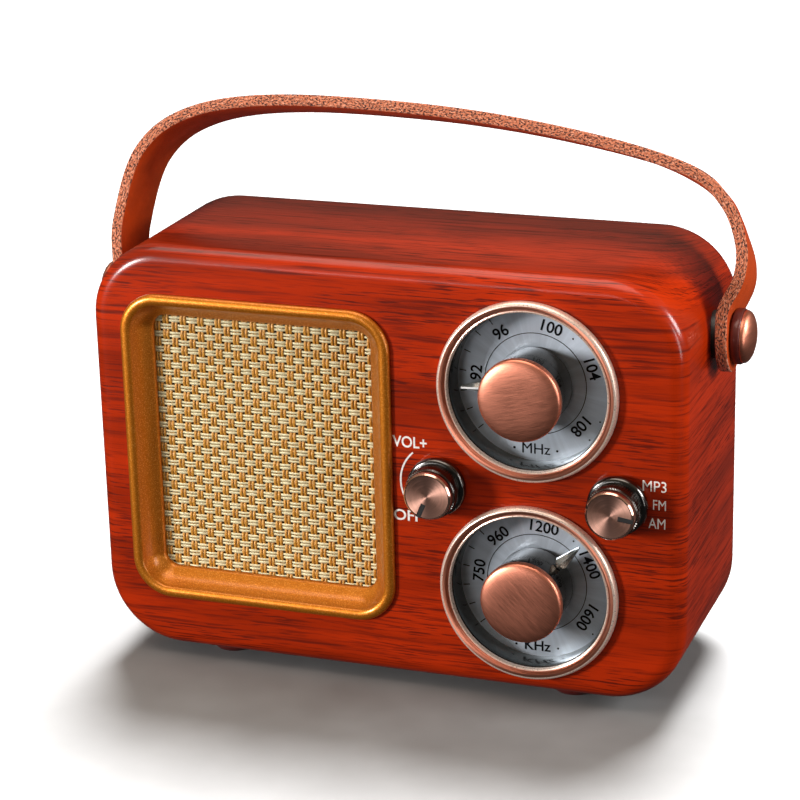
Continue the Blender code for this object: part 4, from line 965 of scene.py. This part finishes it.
class RADIO_OT_small_knobs(PieceMaker, bpy.types.Operator):
    """Volume and band knobs: bulged skirt, knurled band and notched cap"""

    bl_idname = "radio.small_knobs"
    bl_label = "Small Knobs"

    def build(self, scene):
        sizes, colours = scene.radio_knobs, scene.radio_colours
        chrome = dark_chrome(colours)
        # polished metal for the small caps' chamfer, and for the strip beside each notch, which is a painted
        # highlight
        bright = plain("polished_chamfer_and_painted_highlight", (0.85, 0.50, 0.38), 0.15, 1.0)
        ink = plain("notch_black", (0.006, 0.006, 0.006), 0.6)
        for label, notch in (("volume", sizes.volume_notch), ("band", sizes.band_notch)):
            centre = middle(label + "_knob_body")
            centre.y = FRONT
            body = label + "_knob"
            top = sizes.proud - 0.0018
            skirt_top = sizes.proud * 0.36
            skirt = [(SHAFT_BORE, 0.0006), (sizes.skirt_radius * 0.93, 0.0006)]
            skirt += [(sizes.skirt_radius * (0.90 + 0.10 * math.sin(math.radians(turn))),
                       0.0008 + (skirt_top - 0.0008) * (1 - math.cos(math.radians(turn))) / 2)
                      for turn in range(20, 165, 18)]
            skirt += [(sizes.band_radius - 0.0004, skirt_top),
                      (sizes.band_radius - 0.0006, top - 0.0004), (SHAFT_BORE, top - 0.0004)]
            make_piece(label + "_knob_skirt", spun(skirt, centre, FACING_FRONT, 96), chrome, body,
                       [label + "_knob_body"], sharp=40)
            band = knurled(sizes.band_radius, 0.00022, sizes.teeth, top - 0.0003,
                           skirt_top + 0.0001, centre)
            make_piece(label + "_knob_knurl", band, chrome, body, sharp=25)
            self.make_cap(label, notch, centre, body, sizes, colours, bright, ink)
            dress(label + "_shaft", chrome)

    def make_cap(self, label, notch, centre, body, sizes, colours, bright, ink):
        radius, top = sizes.cap_radius, sizes.proud
        cap = [(0, top - 0.0018), (radius - 0.0002, top - 0.0018), (radius, top - 0.0016),
               (radius, top - 0.00035), (radius - 0.00035, top), (radius - 0.0006, top - 0.00003),
               (0, top - 0.00003)]
        bm = spun(cap, centre, FACING_FRONT, 96)
        for face in bm.faces:
            out = Vector((face.calc_center_median().x - centre.x, 0,
                          face.calc_center_median().z - centre.z)).length
            if radius - 0.0006 < out < radius - 0.00005 and face.normal.y < -0.3:
                face.material_index = 1
        spun_copper = copper(colours.small_cap, label + "_cap_copper", "spun",
                             centre=tuple(centre))
        make_piece(label + "_knob_disc", bm, [spun_copper, bright], body,
                   [label + "_knob_cap"], sharp=25)
        inner = radius * 0.34
        run, place = radius - 0.0002 - inner, on_face(centre, top - 0.00001, notch,
                                                      (radius - 0.0001 + inner) / 2)
        groove = bmesh.new()
        box_at(groove, place, (0.0011, run, 0.00008))
        round_edges(groove, 0.00003, 1)
        make_piece(label + "_notch_mark", groove, ink, body)
        # a thin bright strip along one side of the notch: a painted highlight on its edge
        edge = bmesh.new()
        box_at(edge, place @ Matrix.Translation((0.00062, 0, 0)), (0.00014, run, 0.0001))
        make_piece(label + "_notch_painted_highlight", edge, bright, body)


class RADIO_OT_words(PieceMaker, bpy.types.Operator):
    """Printed words beside the small knobs, and the volume knob's arc"""

    bl_idname = "radio.words"
    bl_label = "Printed Words"

    def build(self, scene):
        colours = scene.radio_colours
        white = plain("print_white", colours.print_white, 0.5)
        bm = bmesh.new()
        for text, left, right, foot, head in (("VOL+", 0.0036, 0.0126, 0.0650, 0.0680),
                                              ("OFF", 0.0033, 0.0107, 0.0455, 0.0484),
                                              ("MP3", 0.0675, 0.0734, 0.0599, 0.0628),
                                              ("FM", 0.0701, 0.0733, 0.0553, 0.0580),
                                              ("AM", 0.0691, 0.0733, 0.0504, 0.0532)):
            place = Vector(((left + right) / 2, FRONT, (foot + head) / 2))
            lettering(bm, text, (head - foot) / CAPITAL_HEIGHT, on_face(place, 0.00003),
                      width=right - left)
        centre = middle("volume_knob_body")
        centre.y = FRONT
        start, end, steps, arc_radius = math.radians(-112), math.radians(-42), 24, 0.0102
        for step in range(steps):
            heading = start + (end - start) * (step + 0.5) / steps
            box_at(bm, on_face(centre, 0.00003, heading, arc_radius),
                   (arc_radius * (end - start) / steps * 1.06, 0.00045, PRINT))
        make_piece("printed_words", bm, white, "cabinet")


# ---------------------------------------------------------------- strap
def strap_curve(sizes, reach):
    """A smooth line up from the left stud, over, and down to the right one."""
    rise = sizes.rise
    knots = [(-reach, 0), (-reach, 0.006), (-reach - 0.0008, 0.017), (-reach + 0.0036, 0.70 * rise),
             (-reach + 0.0165, 0.909 * rise), (-reach + 0.041, 0.998 * rise), (0, 0.995 * rise),
             (reach - 0.038, 0.90 * rise), (reach - 0.0115, 0.775 * rise),
             (reach - 0.0016, 0.63 * rise), (reach + 0.0030, 0.44 * rise),
             (reach + 0.0032, 0.014), (reach, 0.006), (reach, 0)]
    points = [Vector(knot) for knot in knots]
    slopes = [(after - before) / 2
              for before, after in zip(points[:1] + points, points[1:] + points[-1:])]
    curve = []
    for index, (start, end) in enumerate(zip(points, points[1:])):
        for step in range(24):
            t = step / 24
            curve.append(start * (2 * t**3 - 3 * t**2 + 1) + slopes[index] * (t**3 - 2 * t**2 + t)
                         + end * (3 * t**2 - 2 * t**3) + slopes[index + 1] * (t**3 - t**2))
    return curve + [points[-1]]


def eased(value, start, end):
    """0 before start, 1 after end, and smooth between them."""
    share = max(0.0, min(1.0, (value - start) / (end - start)))
    return share * share * (3 - 2 * share)


def swept_side(case, up, back):
    """How far out the case reaches on the path of a point of the strap, over the whole swing."""
    half_width, corner, front_rounding, rear_rounding, pivot_y, pivot_z = case
    furthest = 0.0
    for cosine, sine in SWING:
        y = pivot_y + back * cosine - up * sine
        z = pivot_z + up * cosine + back * sine
        if not (FRONT < y < BACK and BOTTOM < z < TOP):
            continue
        over = max(0.0, z - TOP + corner)
        side = half_width - corner + math.sqrt(max(0.0, corner * corner - over * over))
        rounding = front_rounding if y < pivot_y else rear_rounding
        edge = max(0.0, rounding - min(y - FRONT, BACK - y))
        side -= rounding - math.sqrt(max(0.0, rounding * rounding - edge * edge))
        furthest = max(furthest, side)
    return furthest


class RADIO_OT_strap(PieceMaker, bpy.types.Operator):
    """Leather strap: cut flat with round ends, its edges eased, then bent into its arch"""

    bl_idname = "radio.strap"
    bl_label = "Strap"

    def build(self, scene):
        sizes, colours = scene.radio_strap, scene.radio_colours
        cabinet = scene.radio_cabinet
        pivot = joint_place("handle_swing")
        case = (high("cabinet_shell").x - cabinet.boss, cabinet.corner, cabinet.front_rounding,
                cabinet.rear_rounding, pivot.y, pivot.z)
        lean = Matrix.Rotation(-sizes.lean, 3, "X")
        thick = sizes.thickness
        reach = low("right_stud_washer").x - 0.0003 - thick / 2
        curve = strap_curve(sizes, reach)
        twist = sizes.twist
        marks = [0.0]
        for before, after in zip(curve, curve[1:]):
            marks.append(marks[-1] + (after - before).length)
        run, end = marks[-1], sizes.width / 2
        bm = block((run + 2 * end, sizes.width, thick), Vector((run / 2, 0, 0)))
        ends = [edge for edge in bm.edges
                if abs((edge.verts[0].co - edge.verts[1].co).z) > thick / 2]
        bmesh.ops.bevel(bm, geom=ends, offset=end * 0.999, offset_type="OFFSET", segments=14,
                        profile=0.5, affect="EDGES", material=-1)
        rims = [edge for edge in bm.edges
                if abs((edge.verts[0].co - edge.verts[1].co).z) < thick / 2
                and abs(edge.calc_face_angle(0)) > 1.0]
        bmesh.ops.bevel(bm, geom=rims, offset=sizes.edge_rounding, offset_type="OFFSET",
                        segments=3, profile=0.5, affect="EDGES", material=-1)
        cuts = int((run + 2 * end) / 0.0012)
        for cut in range(1, cuts):
            at = -end + (run + 2 * end) * cut / cuts
            bmesh.ops.bisect_plane(bm, geom=bm.verts[:] + bm.edges[:] + bm.faces[:], dist=1e-7,
                                   plane_co=(at, 0, 0), plane_no=(1, 0, 0))
        bmesh.ops.recalc_face_normals(bm, faces=bm.faces)
        layer = bm.loops.layers.uv.new("strap")
        for face in bm.faces:
            face.material_index = 0 if abs(face.normal.z) > 0.75 else 1
            for loop in face.loops:
                place = loop.vert.co
                loop[layer].uv = (place.x + 0.4 * (place.y > 0), place.z)
        index = 0
        for vert in sorted(bm.verts, key=lambda item: item.co.x):
            along, across, offset = vert.co
            clamped = max(0.0, min(run, along))
            while index < len(marks) - 2 and marks[index + 1] < clamped:
                index += 1
            share = (clamped - marks[index]) / (marks[index + 1] - marks[index])

            def heading(place):
                place = max(1, min(len(curve) - 2, place))
                return (curve[place + 1] - curve[place - 1]).normalized()

            tangent = heading(index).lerp(heading(index + 1), share).normalized()
            point = curve[index].lerp(curve[index + 1], share) + tangent * (along - clamped)
            wave = 0.00012 * math.sin(along * 95 + 0.7) * math.sin(math.pi * clamped / run)
            turn = twist * eased(clamped / run, 0.74, 0.87) * (
                1 - eased(clamped / run, 0.88, 0.965))
            wave -= self.turn_in(case, lean, thick / 2, point, tangent, across,
                                 (across + end) * math.sin(turn))
            across = -end + (across + end) * math.cos(turn)
            vert.co = (point.x - tangent.y * (offset + wave), across,
                       point.y + tangent.x * (offset + wave))
        bmesh.ops.transform(bm, matrix=Matrix.Translation((0, pivot.y, pivot.z))
                            @ Matrix.Rotation(-sizes.lean, 4, "X"), verts=bm.verts)
        settle(bm)
        make_piece("strap_leather", bm, [leather_face(colours), leather_edge(colours)], "handle",
                   ["handle_strap"], sharp=60)
        self.make_studs(colours)

    def turn_in(self, case, lean, half_thick, point, tangent, across, wanted):
        """How far a point of the back edge turns in without meeting the case in any swing."""
        def clears(shift):
            depth = half_thick + shift
            inner = lean @ Vector((point.x + tangent.y * depth, across,
                                   point.y - tangent.x * depth))
            return inner.x - 0.0003 > swept_side(case, inner.z, inner.y)

        if wanted <= 0 or clears(wanted):
            return max(0.0, wanted)
        least, most = 0.0, wanted
        for _ in range(8):
            half = (least + most) / 2
            least, most = (half, most) if clears(half) else (least, half)
        return least

    def make_studs(self, colours):
        dark = plain("stud_washer", (0.115, 0.017, 0.012), 0.38, 0.2, Coat_Weight=0.3)
        bright = copper(colours.copper, "stud_copper", "linear", turn=0.5)
        bodies = frame["record"]["behaviour"]["bodies"]
        for label, side, facing in (("left", -1, FACING_LEFT), ("right", 1, FACING_RIGHT)):
            pivot = joint_place("handle_swing")
            body = next(name for name, nodes in bodies.items() if label + "_stud" in nodes)
            box_low, box_high = low(label + "_stud_washer"), high(label + "_stud_washer")
            radius, depth = (box_high.z - box_low.z) / 2, box_high.x - box_low.x
            start = box_low.x if side > 0 else box_high.x
            profile = [(0.0022, 0), (radius * 0.97, 0), (radius, depth * 0.25),
                       (radius, depth * 0.75), (radius * 0.97, depth), (0.0022, depth)]
            centre = Vector((start, pivot.y, pivot.z))
            make_piece(label + "_washer_ring", spun(profile, centre, facing, 72, 0.00015), dark,
                       body, [label + "_stud_washer"])
            tip = max(abs(high(label + "_stud").x), abs(low(label + "_stud").x))
            head = tip - abs(start) - depth
            radius -= 0.0004
            dome = [(0, depth * 0.5), (0.0021, depth * 0.5), (0.0021, depth + 0.0001),
                    (radius, depth + 0.0001), (radius, depth + head * 0.12)]
            dome += [(radius * math.cos(math.radians(turn)),
                      depth + head * (0.12 + 0.88 * math.sin(math.radians(turn))))
                     for turn in range(9, 90, 9)]
            dome.append((0, depth + head))
            make_piece(label + "_stud_dome", spun(dome, centre, facing, 72), bright, body,
                       [label + "_stud"], sharp=45)


# ---------------------------------------------------------------- back
class RADIO_OT_back(PieceMaker, bpy.types.Operator):
    """Rear cover with its battery door, screws, buttons and sockets"""

    bl_idname = "radio.back"
    bl_label = "Back"

    def build(self, scene):
        sizes, colours = scene.radio_cabinet, scene.radio_colours
        black = plain("back_plastic", colours.black, 0.55, grain=1400, depth=0.00006)
        soft = plain("button_rubber", (0.020, 0.020, 0.022), 0.7, grain=2000)
        steel = plain("screw_steel", (0.42, 0.41, 0.40), 0.32, 1.0)
        white = plain("button_print", colours.print_white, 0.6)
        self.make_cover(sizes, black)
        self.make_door(black)
        for number in range(1, 5):
            self.make_screw(f"cover_screw_{number}", steel, black)
        for label in ("previous", "play", "next"):
            self.make_button(label, soft, white)
        box_low, box_high = low("audio_socket"), high("audio_socket")
        radius, length_in = (box_high.x - box_low.x) / 2, box_high.y - box_low.y
        profile = [(0, -length_in * 0.8), (radius * 0.486, -length_in * 0.8),
                   (radius * 0.486, -0.0002), (radius * 0.56, 0.0), (radius * 0.9, 0.0),
                   (radius, -0.0004), (radius, -length_in), (0, -length_in)]
        centre = middle("audio_socket")
        centre.y = box_high.y
        make_piece("audio_socket_ring", spun(profile, centre, FACING_BACK, 48), steel, "cabinet",
                   ["audio_socket"])
        dress("charge_socket", steel)

    def make_cover(self, sizes, black):
        box_low, box_high = low("rear_cover"), high("rear_cover")
        centre = Vector(((box_low.x + box_high.x) / 2, 0, (box_low.z + box_high.z) / 2))
        size = box_high - box_low
        thick, gap = 0.0022, sizes.cover_gap
        bm = bmesh.new()
        rim = closed_line(bm, outline(size.x, size.z, max(0.002, sizes.corner - (
            high("cabinet_shell").x - sizes.boss - box_high.x)), centre, COVER_FACE, 14))[1]
        holes = []
        for node in ("previous_button", "play_button", "next_button"):
            holes.append(circle(0.003 + gap, middle(node), COVER_FACE, 40))
        holes.append(circle(size_of("audio_socket").x / 2 + gap,
                            middle("audio_socket"), COVER_FACE, 48))
        charge = size_of("charge_socket")
        holes.append(outline(charge.x + 2 * gap, charge.z + 2 * gap, 0.0004,
                             middle("charge_socket"), COVER_FACE, 3))
        battery = size_of("battery")
        holes.append(outline(battery.x + 2 * gap, battery.z + 2 * gap, 0.0005, middle("battery"),
                             COVER_FACE, 3))
        fill_between(bm, rim, holes, (0, 1, 0))
        bmesh.ops.recalc_face_normals(bm, faces=bm.faces)
        if next(iter(bm.faces)).normal.y < 0:
            bmesh.ops.reverse_faces(bm, faces=bm.faces)
        bmesh.ops.solidify(bm, geom=bm.faces[:], thickness=thick)
        settle(bm)
        round_edges(bm, 0.00025, 2, 60, lambda edge: all(
            abs(vert.co.y - COVER_FACE) < 1e-5 for vert in edge.verts))
        make_piece("rear_panel", bm, black, "cabinet", ["rear_cover"])
        tray_low = low("rear_cover").y
        wall = 0.0012
        tray = bmesh.new()
        depth, around = COVER_FACE - 0.0024 - tray_low, 2 * gap + 2 * wall
        box_at(tray, Matrix.Translation((middle("battery").x, tray_low + depth / 2,
                                         middle("battery").z)),
               (battery.x + around, depth, battery.z + around))
        mouth = [face for face in tray.faces if face.normal.y > 0.9]
        bmesh.ops.inset_individual(tray, faces=mouth, thickness=wall)
        floor = bmesh.ops.extrude_discrete_faces(tray, faces=mouth)["faces"][0]
        bmesh.ops.translate(tray, vec=(0, -(depth - wall), 0), verts=floor.verts)
        settle(tray)
        make_piece("battery_tray", tray, black, "cabinet")

    def make_door(self, black):
        size, centre = size_of("battery_door"), middle("battery_door")
        bm = block(size, centre, 0.0004, 3)
        mesh = bpy.data.meshes.new("door")
        for row in range(6):
            rib = block((0.014, 0.0007, 0.0007),
                        Vector((centre.x, centre.y + size.y / 2 - 0.0001,
                                centre.z + size.z / 2 - 0.004 - row * 0.0016)), 0.0002, 2)
            rib.to_mesh(mesh)
            bm.from_mesh(mesh)
            rib.free()
        bpy.data.meshes.remove(mesh)
        make_piece("battery_door_panel", bm, black, "battery_lid",
                   ["battery_door"])

    def make_screw(self, node, steel, black):
        box_low, box_high = low(node), high(node)
        radius, centre = (box_high.x - box_low.x) / 2, middle(node)
        rise = box_high.y - COVER_FACE
        centre.y = COVER_FACE
        long = COVER_FACE - box_low.y
        profile = [(0, -long), (0.0011, -long + 0.0004), (0.0011, 0.0003), (radius, 0.0003),
                   (radius, rise * 0.35), (radius * 0.92, rise * 0.72), (radius * 0.7, rise),
                   (0, rise)]
        make_piece(node + "_head", spun(profile, centre, FACING_BACK, 40, 0.0001, 2), steel,
                   "cabinet", [node])
        cross = bmesh.new()
        for size in ((radius * 1.1, 0.0001, radius * 0.26), (radius * 0.26, 0.0001, radius * 1.1)):
            box_at(cross, Matrix.Translation((centre.x, box_high.y - 0.00003, centre.z)), size)
        make_piece(node + "_cross", cross, black, "cabinet")

    def make_button(self, label, soft, white):
        node = label + "_button"
        centre, box_low, box_high = middle(node), low(node), high(node)
        proud = box_high.y - COVER_FACE
        centre.y = COVER_FACE
        flange_in, flange = COVER_FACE - box_low.y, (box_high.x - box_low.x) / 2
        profile = [(0, -flange_in), (flange, -flange_in), (flange, -flange_in + 0.0008),
                   (0.003, -flange_in + 0.0008), (0.003, proud * 0.6), (0.0028, proud * 0.85),
                   (0.0022, proud), (0, proud)]
        make_piece(label + "_button_cap", spun(profile, centre, FACING_BACK, 48, 0.0001, 2), soft,
                   label, [node])
        sign = bmesh.new()
        spots = {"previous": ((-0.0006, 1), (0.0006, 1)), "play": ((0, -1),),
                 "next": ((-0.0006, -1), (0.0006, -1))}[label]
        for shift, way in spots:
            disc_at(sign, Matrix.Translation((centre.x + shift, box_high.y, centre.z))
                    @ FACING_BACK @ Matrix.Rotation(math.pi / 2 * way, 4, "Z"), 0.0008, 3)
        make_piece(label + "_button_sign", sign, white, label)


class RADIO_OT_antenna(PieceMaker, bpy.types.Operator):
    """Folding antenna: knuckle, two tubes and a rod with a round tip"""

    bl_idname = "radio.antenna"
    bl_label = "Antenna"

    def build(self, scene):
        chrome = plain("antenna_chrome", (0.78, 0.78, 0.79), 0.10, 1.0, grain=400)
        pivot = joint_place("antenna_swing")
        box_low, box_high = low("antenna_knuckle"), high("antenna_knuckle")
        radius, inside = (box_high.x - box_low.x) / 2, pivot.y - box_low.y
        rise = box_high.y - pivot.y
        shank = size_of("antenna_tube_1").z / 2
        profile = [(0, -inside), (shank, -inside), (shank, 0.0003), (radius, 0.0003),
                   (radius, 0.0010), (radius * 0.93, 0.0013), (radius * 0.93, rise * 0.72),
                   (radius * 0.86, rise * 0.9), (radius * 0.62, rise), (0, rise)]
        make_piece("antenna_joint", spun(profile, pivot, FACING_BACK, 64, 0.00015, 2), chrome,
                   "antenna_arm", ["antenna_knuckle"])
        for node, body, lip in (("antenna_tube_1", "antenna_arm", 0.004),
                                ("antenna_tube_2", "antenna_middle", 0.003)):
            radius, run = size_of(node).z / 2, size_of(node).x
            bore = radius - 0.0006
            tube = [(0, 0), (radius * 0.9, 0), (radius * 0.9, run - lip),
                    (radius, run - lip + 0.0002), (radius, run - 0.0002), (radius - 0.0002, run),
                    (bore, run), (bore, 0.0015), (0, 0.0015)]
            centre = Vector((high(node).x, middle(node).y, middle(node).z))
            make_piece(node + "_sleeve", spun(tube, centre, FACING_LEFT, 40), chrome, body,
                       [node])
        radius, run = size_of("antenna_tip").z / 2, size_of("antenna_tip").x
        rod, head = radius * 0.45, 0.006
        tip = [(0, 0), (rod, 0), (rod, run - head), (radius * 0.7, run - head),
               (radius * 0.7, run - head * 0.8), (radius * 0.5, run - head * 0.72),
               (radius, run - head * 0.55), (radius, run - head * 0.15),
               (radius * 0.75, run - head * 0.02), (0, run)]
        centre = Vector((high("antenna_tip").x, middle("antenna_tip").y, middle("antenna_tip").z))
        make_piece("antenna_rod", spun(tip, centre, FACING_LEFT, 40, 0.0001, 2), chrome,
                   "antenna_end", ["antenna_tip"])


# ---------------------------------------------------------------- inside
class RADIO_OT_insides(PieceMaker, bpy.types.Operator):
    """Finishes for the parts inside that keep their own shape"""

    bl_idname = "radio.insides"
    bl_label = "Insides"

    def build(self, scene):
        steel = plain("plated_steel", (0.50, 0.48, 0.46), 0.35, 1.0)
        finishes = {
            "speaker_baffle": plain("fibreboard", (0.16, 0.085, 0.04), 0.9, grain=700,
                                    depth=0.0001),
            "speaker_basket": steel,
            "speaker_magnet": plain("magnet_iron", (0.05, 0.05, 0.052), 0.6, 0.4, depth=0.0001),
            "speaker_cone": plain("cone_paper", (0.035, 0.032, 0.030), 0.95, grain=1500,
                                  depth=0.0001),
            "voice_coil": plain("coil_copper", (0.75, 0.25, 0.08), 0.35, 1.0, grain=3000),
            "fm_tuner": steel, "am_tuner": steel, "volume_control": steel, "band_control": steel,
            "left_stud_nut": steel, "right_stud_nut": steel,
            "main_board": plain("board_green", (0.02, 0.14, 0.045), 0.45, grain=500,
                                Coat_Weight=0.4),
            "ferrite_rod": plain("ferrite", (0.035, 0.035, 0.037), 0.7, grain=1200, depth=0.0001),
            "antenna_coil": plain("coil_wire", (0.60, 0.20, 0.07), 0.4, 0.9, grain=3500),
            "battery": plain("battery_wrap", (0.05, 0.09, 0.20), 0.4, grain=300, Coat_Weight=0.5),
        }
        for node, material in finishes.items():
            dress(node, material)


# ---------------------------------------------------------------- stage
def softbox(name, place, target, size, power, shade=(1, 1, 1)):
    light = bpy.data.lights.new(name, "AREA")
    light.shape, light.size, light.size_y = "RECTANGLE", size[0], size[1]
    light.energy, light.color = power, shade
    lamp = bpy.data.objects.new(name, light)
    lamp.location = place
    lamp.rotation_euler = (Vector(place) - Vector(target)).to_track_quat("Z", "Y").to_euler()
    bpy.context.scene.collection.objects.link(lamp)


class RADIO_OT_stage(PieceMaker, bpy.types.Operator):
    """Table, sky, softboxes and the camera"""

    bl_idname = "radio.stage"
    bl_label = "Stage"

    def build(self, scene):
        bm = bmesh.new()
        bmesh.ops.create_grid(bm, x_segments=1, y_segments=1, size=6.0)
        mesh = bpy.data.meshes.new("table_top")
        bm.to_mesh(mesh)
        bm.free()
        mesh.materials.append(plain("table_white", (0.17, 0.17, 0.17), 0.8, grain=30, depth=0.0))
        table = bpy.data.objects.new("table_top", mesh)
        table.visible_glossy = table.visible_diffuse = False
        scene.collection.objects.link(table)

        world = scene.world or bpy.data.worlds.new("room")
        scene.world = world
        world.use_nodes = True
        tree = world.node_tree
        up = tree.nodes.new("ShaderNodeSeparateXYZ")
        tree.links.new(tree.nodes.new("ShaderNodeTexCoord").outputs["Generated"], up.inputs[0])
        sky = tree.nodes.new("ShaderNodeValToRGB")
        sky.color_ramp.elements[0].position, sky.color_ramp.elements[1].position = 0.0, 0.5
        sky.color_ramp.elements[0].color = (0.04, 0.04, 0.04, 1.0)
        sky.color_ramp.elements[1].color = (0.27, 0.22, 0.165, 1.0)
        tree.links.new(up.outputs[2], sky.inputs[0])
        tree.links.new(sky.outputs[0], tree.nodes["Background"].inputs["Color"])

        aim = (0.0, 0.0, 0.06)
        softbox("key_softbox", (-0.58, -0.63, 0.20), aim, (0.17, 0.17), 7.2)
        softbox("front_card", (-0.36, -1.0, 0.10), aim, (0.5, 0.10), 0.75)
        softbox("right_softbox", (0.95, 0.12, 0.50), aim, (0.36, 0.36), 9.5)
        softbox("right_card", (0.90, -0.38, 0.18), aim, (0.20, 0.5), 2.4)
        softbox("top_softbox", (-0.12, -0.14, 0.95), aim, (1.0, 0.62), 6.6, (1.0, 0.88, 0.78))
        sun = bpy.data.lights.new("overhead", "SUN")
        sun.energy, sun.angle = 24.0, math.radians(32)
        overhead = bpy.data.objects.new("overhead", sun)
        overhead.rotation_euler = Vector((-0.05, 0.62, 1.0)).to_track_quat("Z", "Y").to_euler()
        scene.collection.objects.link(overhead)
        only_table = bpy.data.collections.new("table_only")
        only_table.objects.link(table)
        overhead.light_linking.receiver_collection = only_table

        self.make_camera(scene)
        scene.view_settings.view_transform = "Standard"

    def make_camera(self, scene):
        yaw, pitch, roll = (math.radians(turn) for turn in (20.2376, 18.873, -1.4304))
        target, distance = Vector((0.00571, FRONT, 0.07749)), 0.6491
        back = Vector((math.sin(yaw) * math.cos(pitch), -math.cos(yaw) * math.cos(pitch),
                       math.sin(pitch)))
        right = (-back).cross(Vector((0, 0, 1))).normalized()
        up = right.cross(-back)
        side = right * math.cos(roll) + up * math.sin(roll)
        rise = up * math.cos(roll) - right * math.sin(roll)
        lens = bpy.data.cameras.new("camera")
        lens.lens, lens.sensor_width = 118.36, 36.0
        lens.clip_start, lens.clip_end = 0.01, 50.0
        camera = bpy.data.objects.new("camera", lens)
        turned = Matrix((side, rise, back)).transposed().to_4x4()
        camera.matrix_world = Matrix.Translation(target + back * distance) @ turned
        scene.collection.objects.link(camera)
        scene.camera = camera


# ---------------------------------------------------------------- panel
class RADIO_PT_panel(bpy.types.Panel):
    """Sizes, colours and pieces of the radio"""

    bl_label = "Radio"
    bl_space_type = "VIEW_3D"
    bl_region_type = "UI"
    bl_category = "Radio"

    def draw(self, context):
        for title, group in (("Cabinet", "radio_cabinet"), ("Speaker", "radio_speaker"),
                             ("Dials", "radio_dials"), ("Knobs", "radio_knobs"),
                             ("Strap", "radio_strap"), ("Colours", "radio_colours")):
            box = self.layout.box()
            box.label(text=title)
            settings = getattr(context.scene, group)
            for name in settings.__annotations__:
                box.prop(settings, name)
        for piece in PIECES:
            self.layout.operator(piece.bl_idname)


GROUPS = {"radio_cabinet": CabinetSizes, "radio_speaker": SpeakerSizes,
          "radio_dials": DialSizes, "radio_knobs": KnobSizes, "radio_strap": StrapSizes,
          "radio_colours": RadioColours}
PIECES = [RADIO_OT_cabinet, RADIO_OT_feet, RADIO_OT_speaker_frame, RADIO_OT_speaker_cloth,
          RADIO_OT_dials, RADIO_OT_small_knobs, RADIO_OT_words, RADIO_OT_strap, RADIO_OT_back,
          RADIO_OT_antenna, RADIO_OT_insides, RADIO_OT_stage]


def register():
    for group in GROUPS.values():
        bpy.utils.register_class(group)
    for name, group in GROUPS.items():
        setattr(bpy.types.Scene, name, PointerProperty(type=group))
    for piece in PIECES + [RADIO_PT_panel]:
        bpy.utils.register_class(piece)


def unregister():
    for piece in reversed(PIECES + [RADIO_PT_panel]):
        bpy.utils.unregister_class(piece)
    for name, group in GROUPS.items():
        delattr(bpy.types.Scene, name)
        bpy.utils.unregister_class(group)


def main():
    register()
    for piece in PIECES:
        family, name = piece.bl_idname.split(".")
        getattr(getattr(bpy.ops, family), name)()


if __name__ == "__main__":
    main()
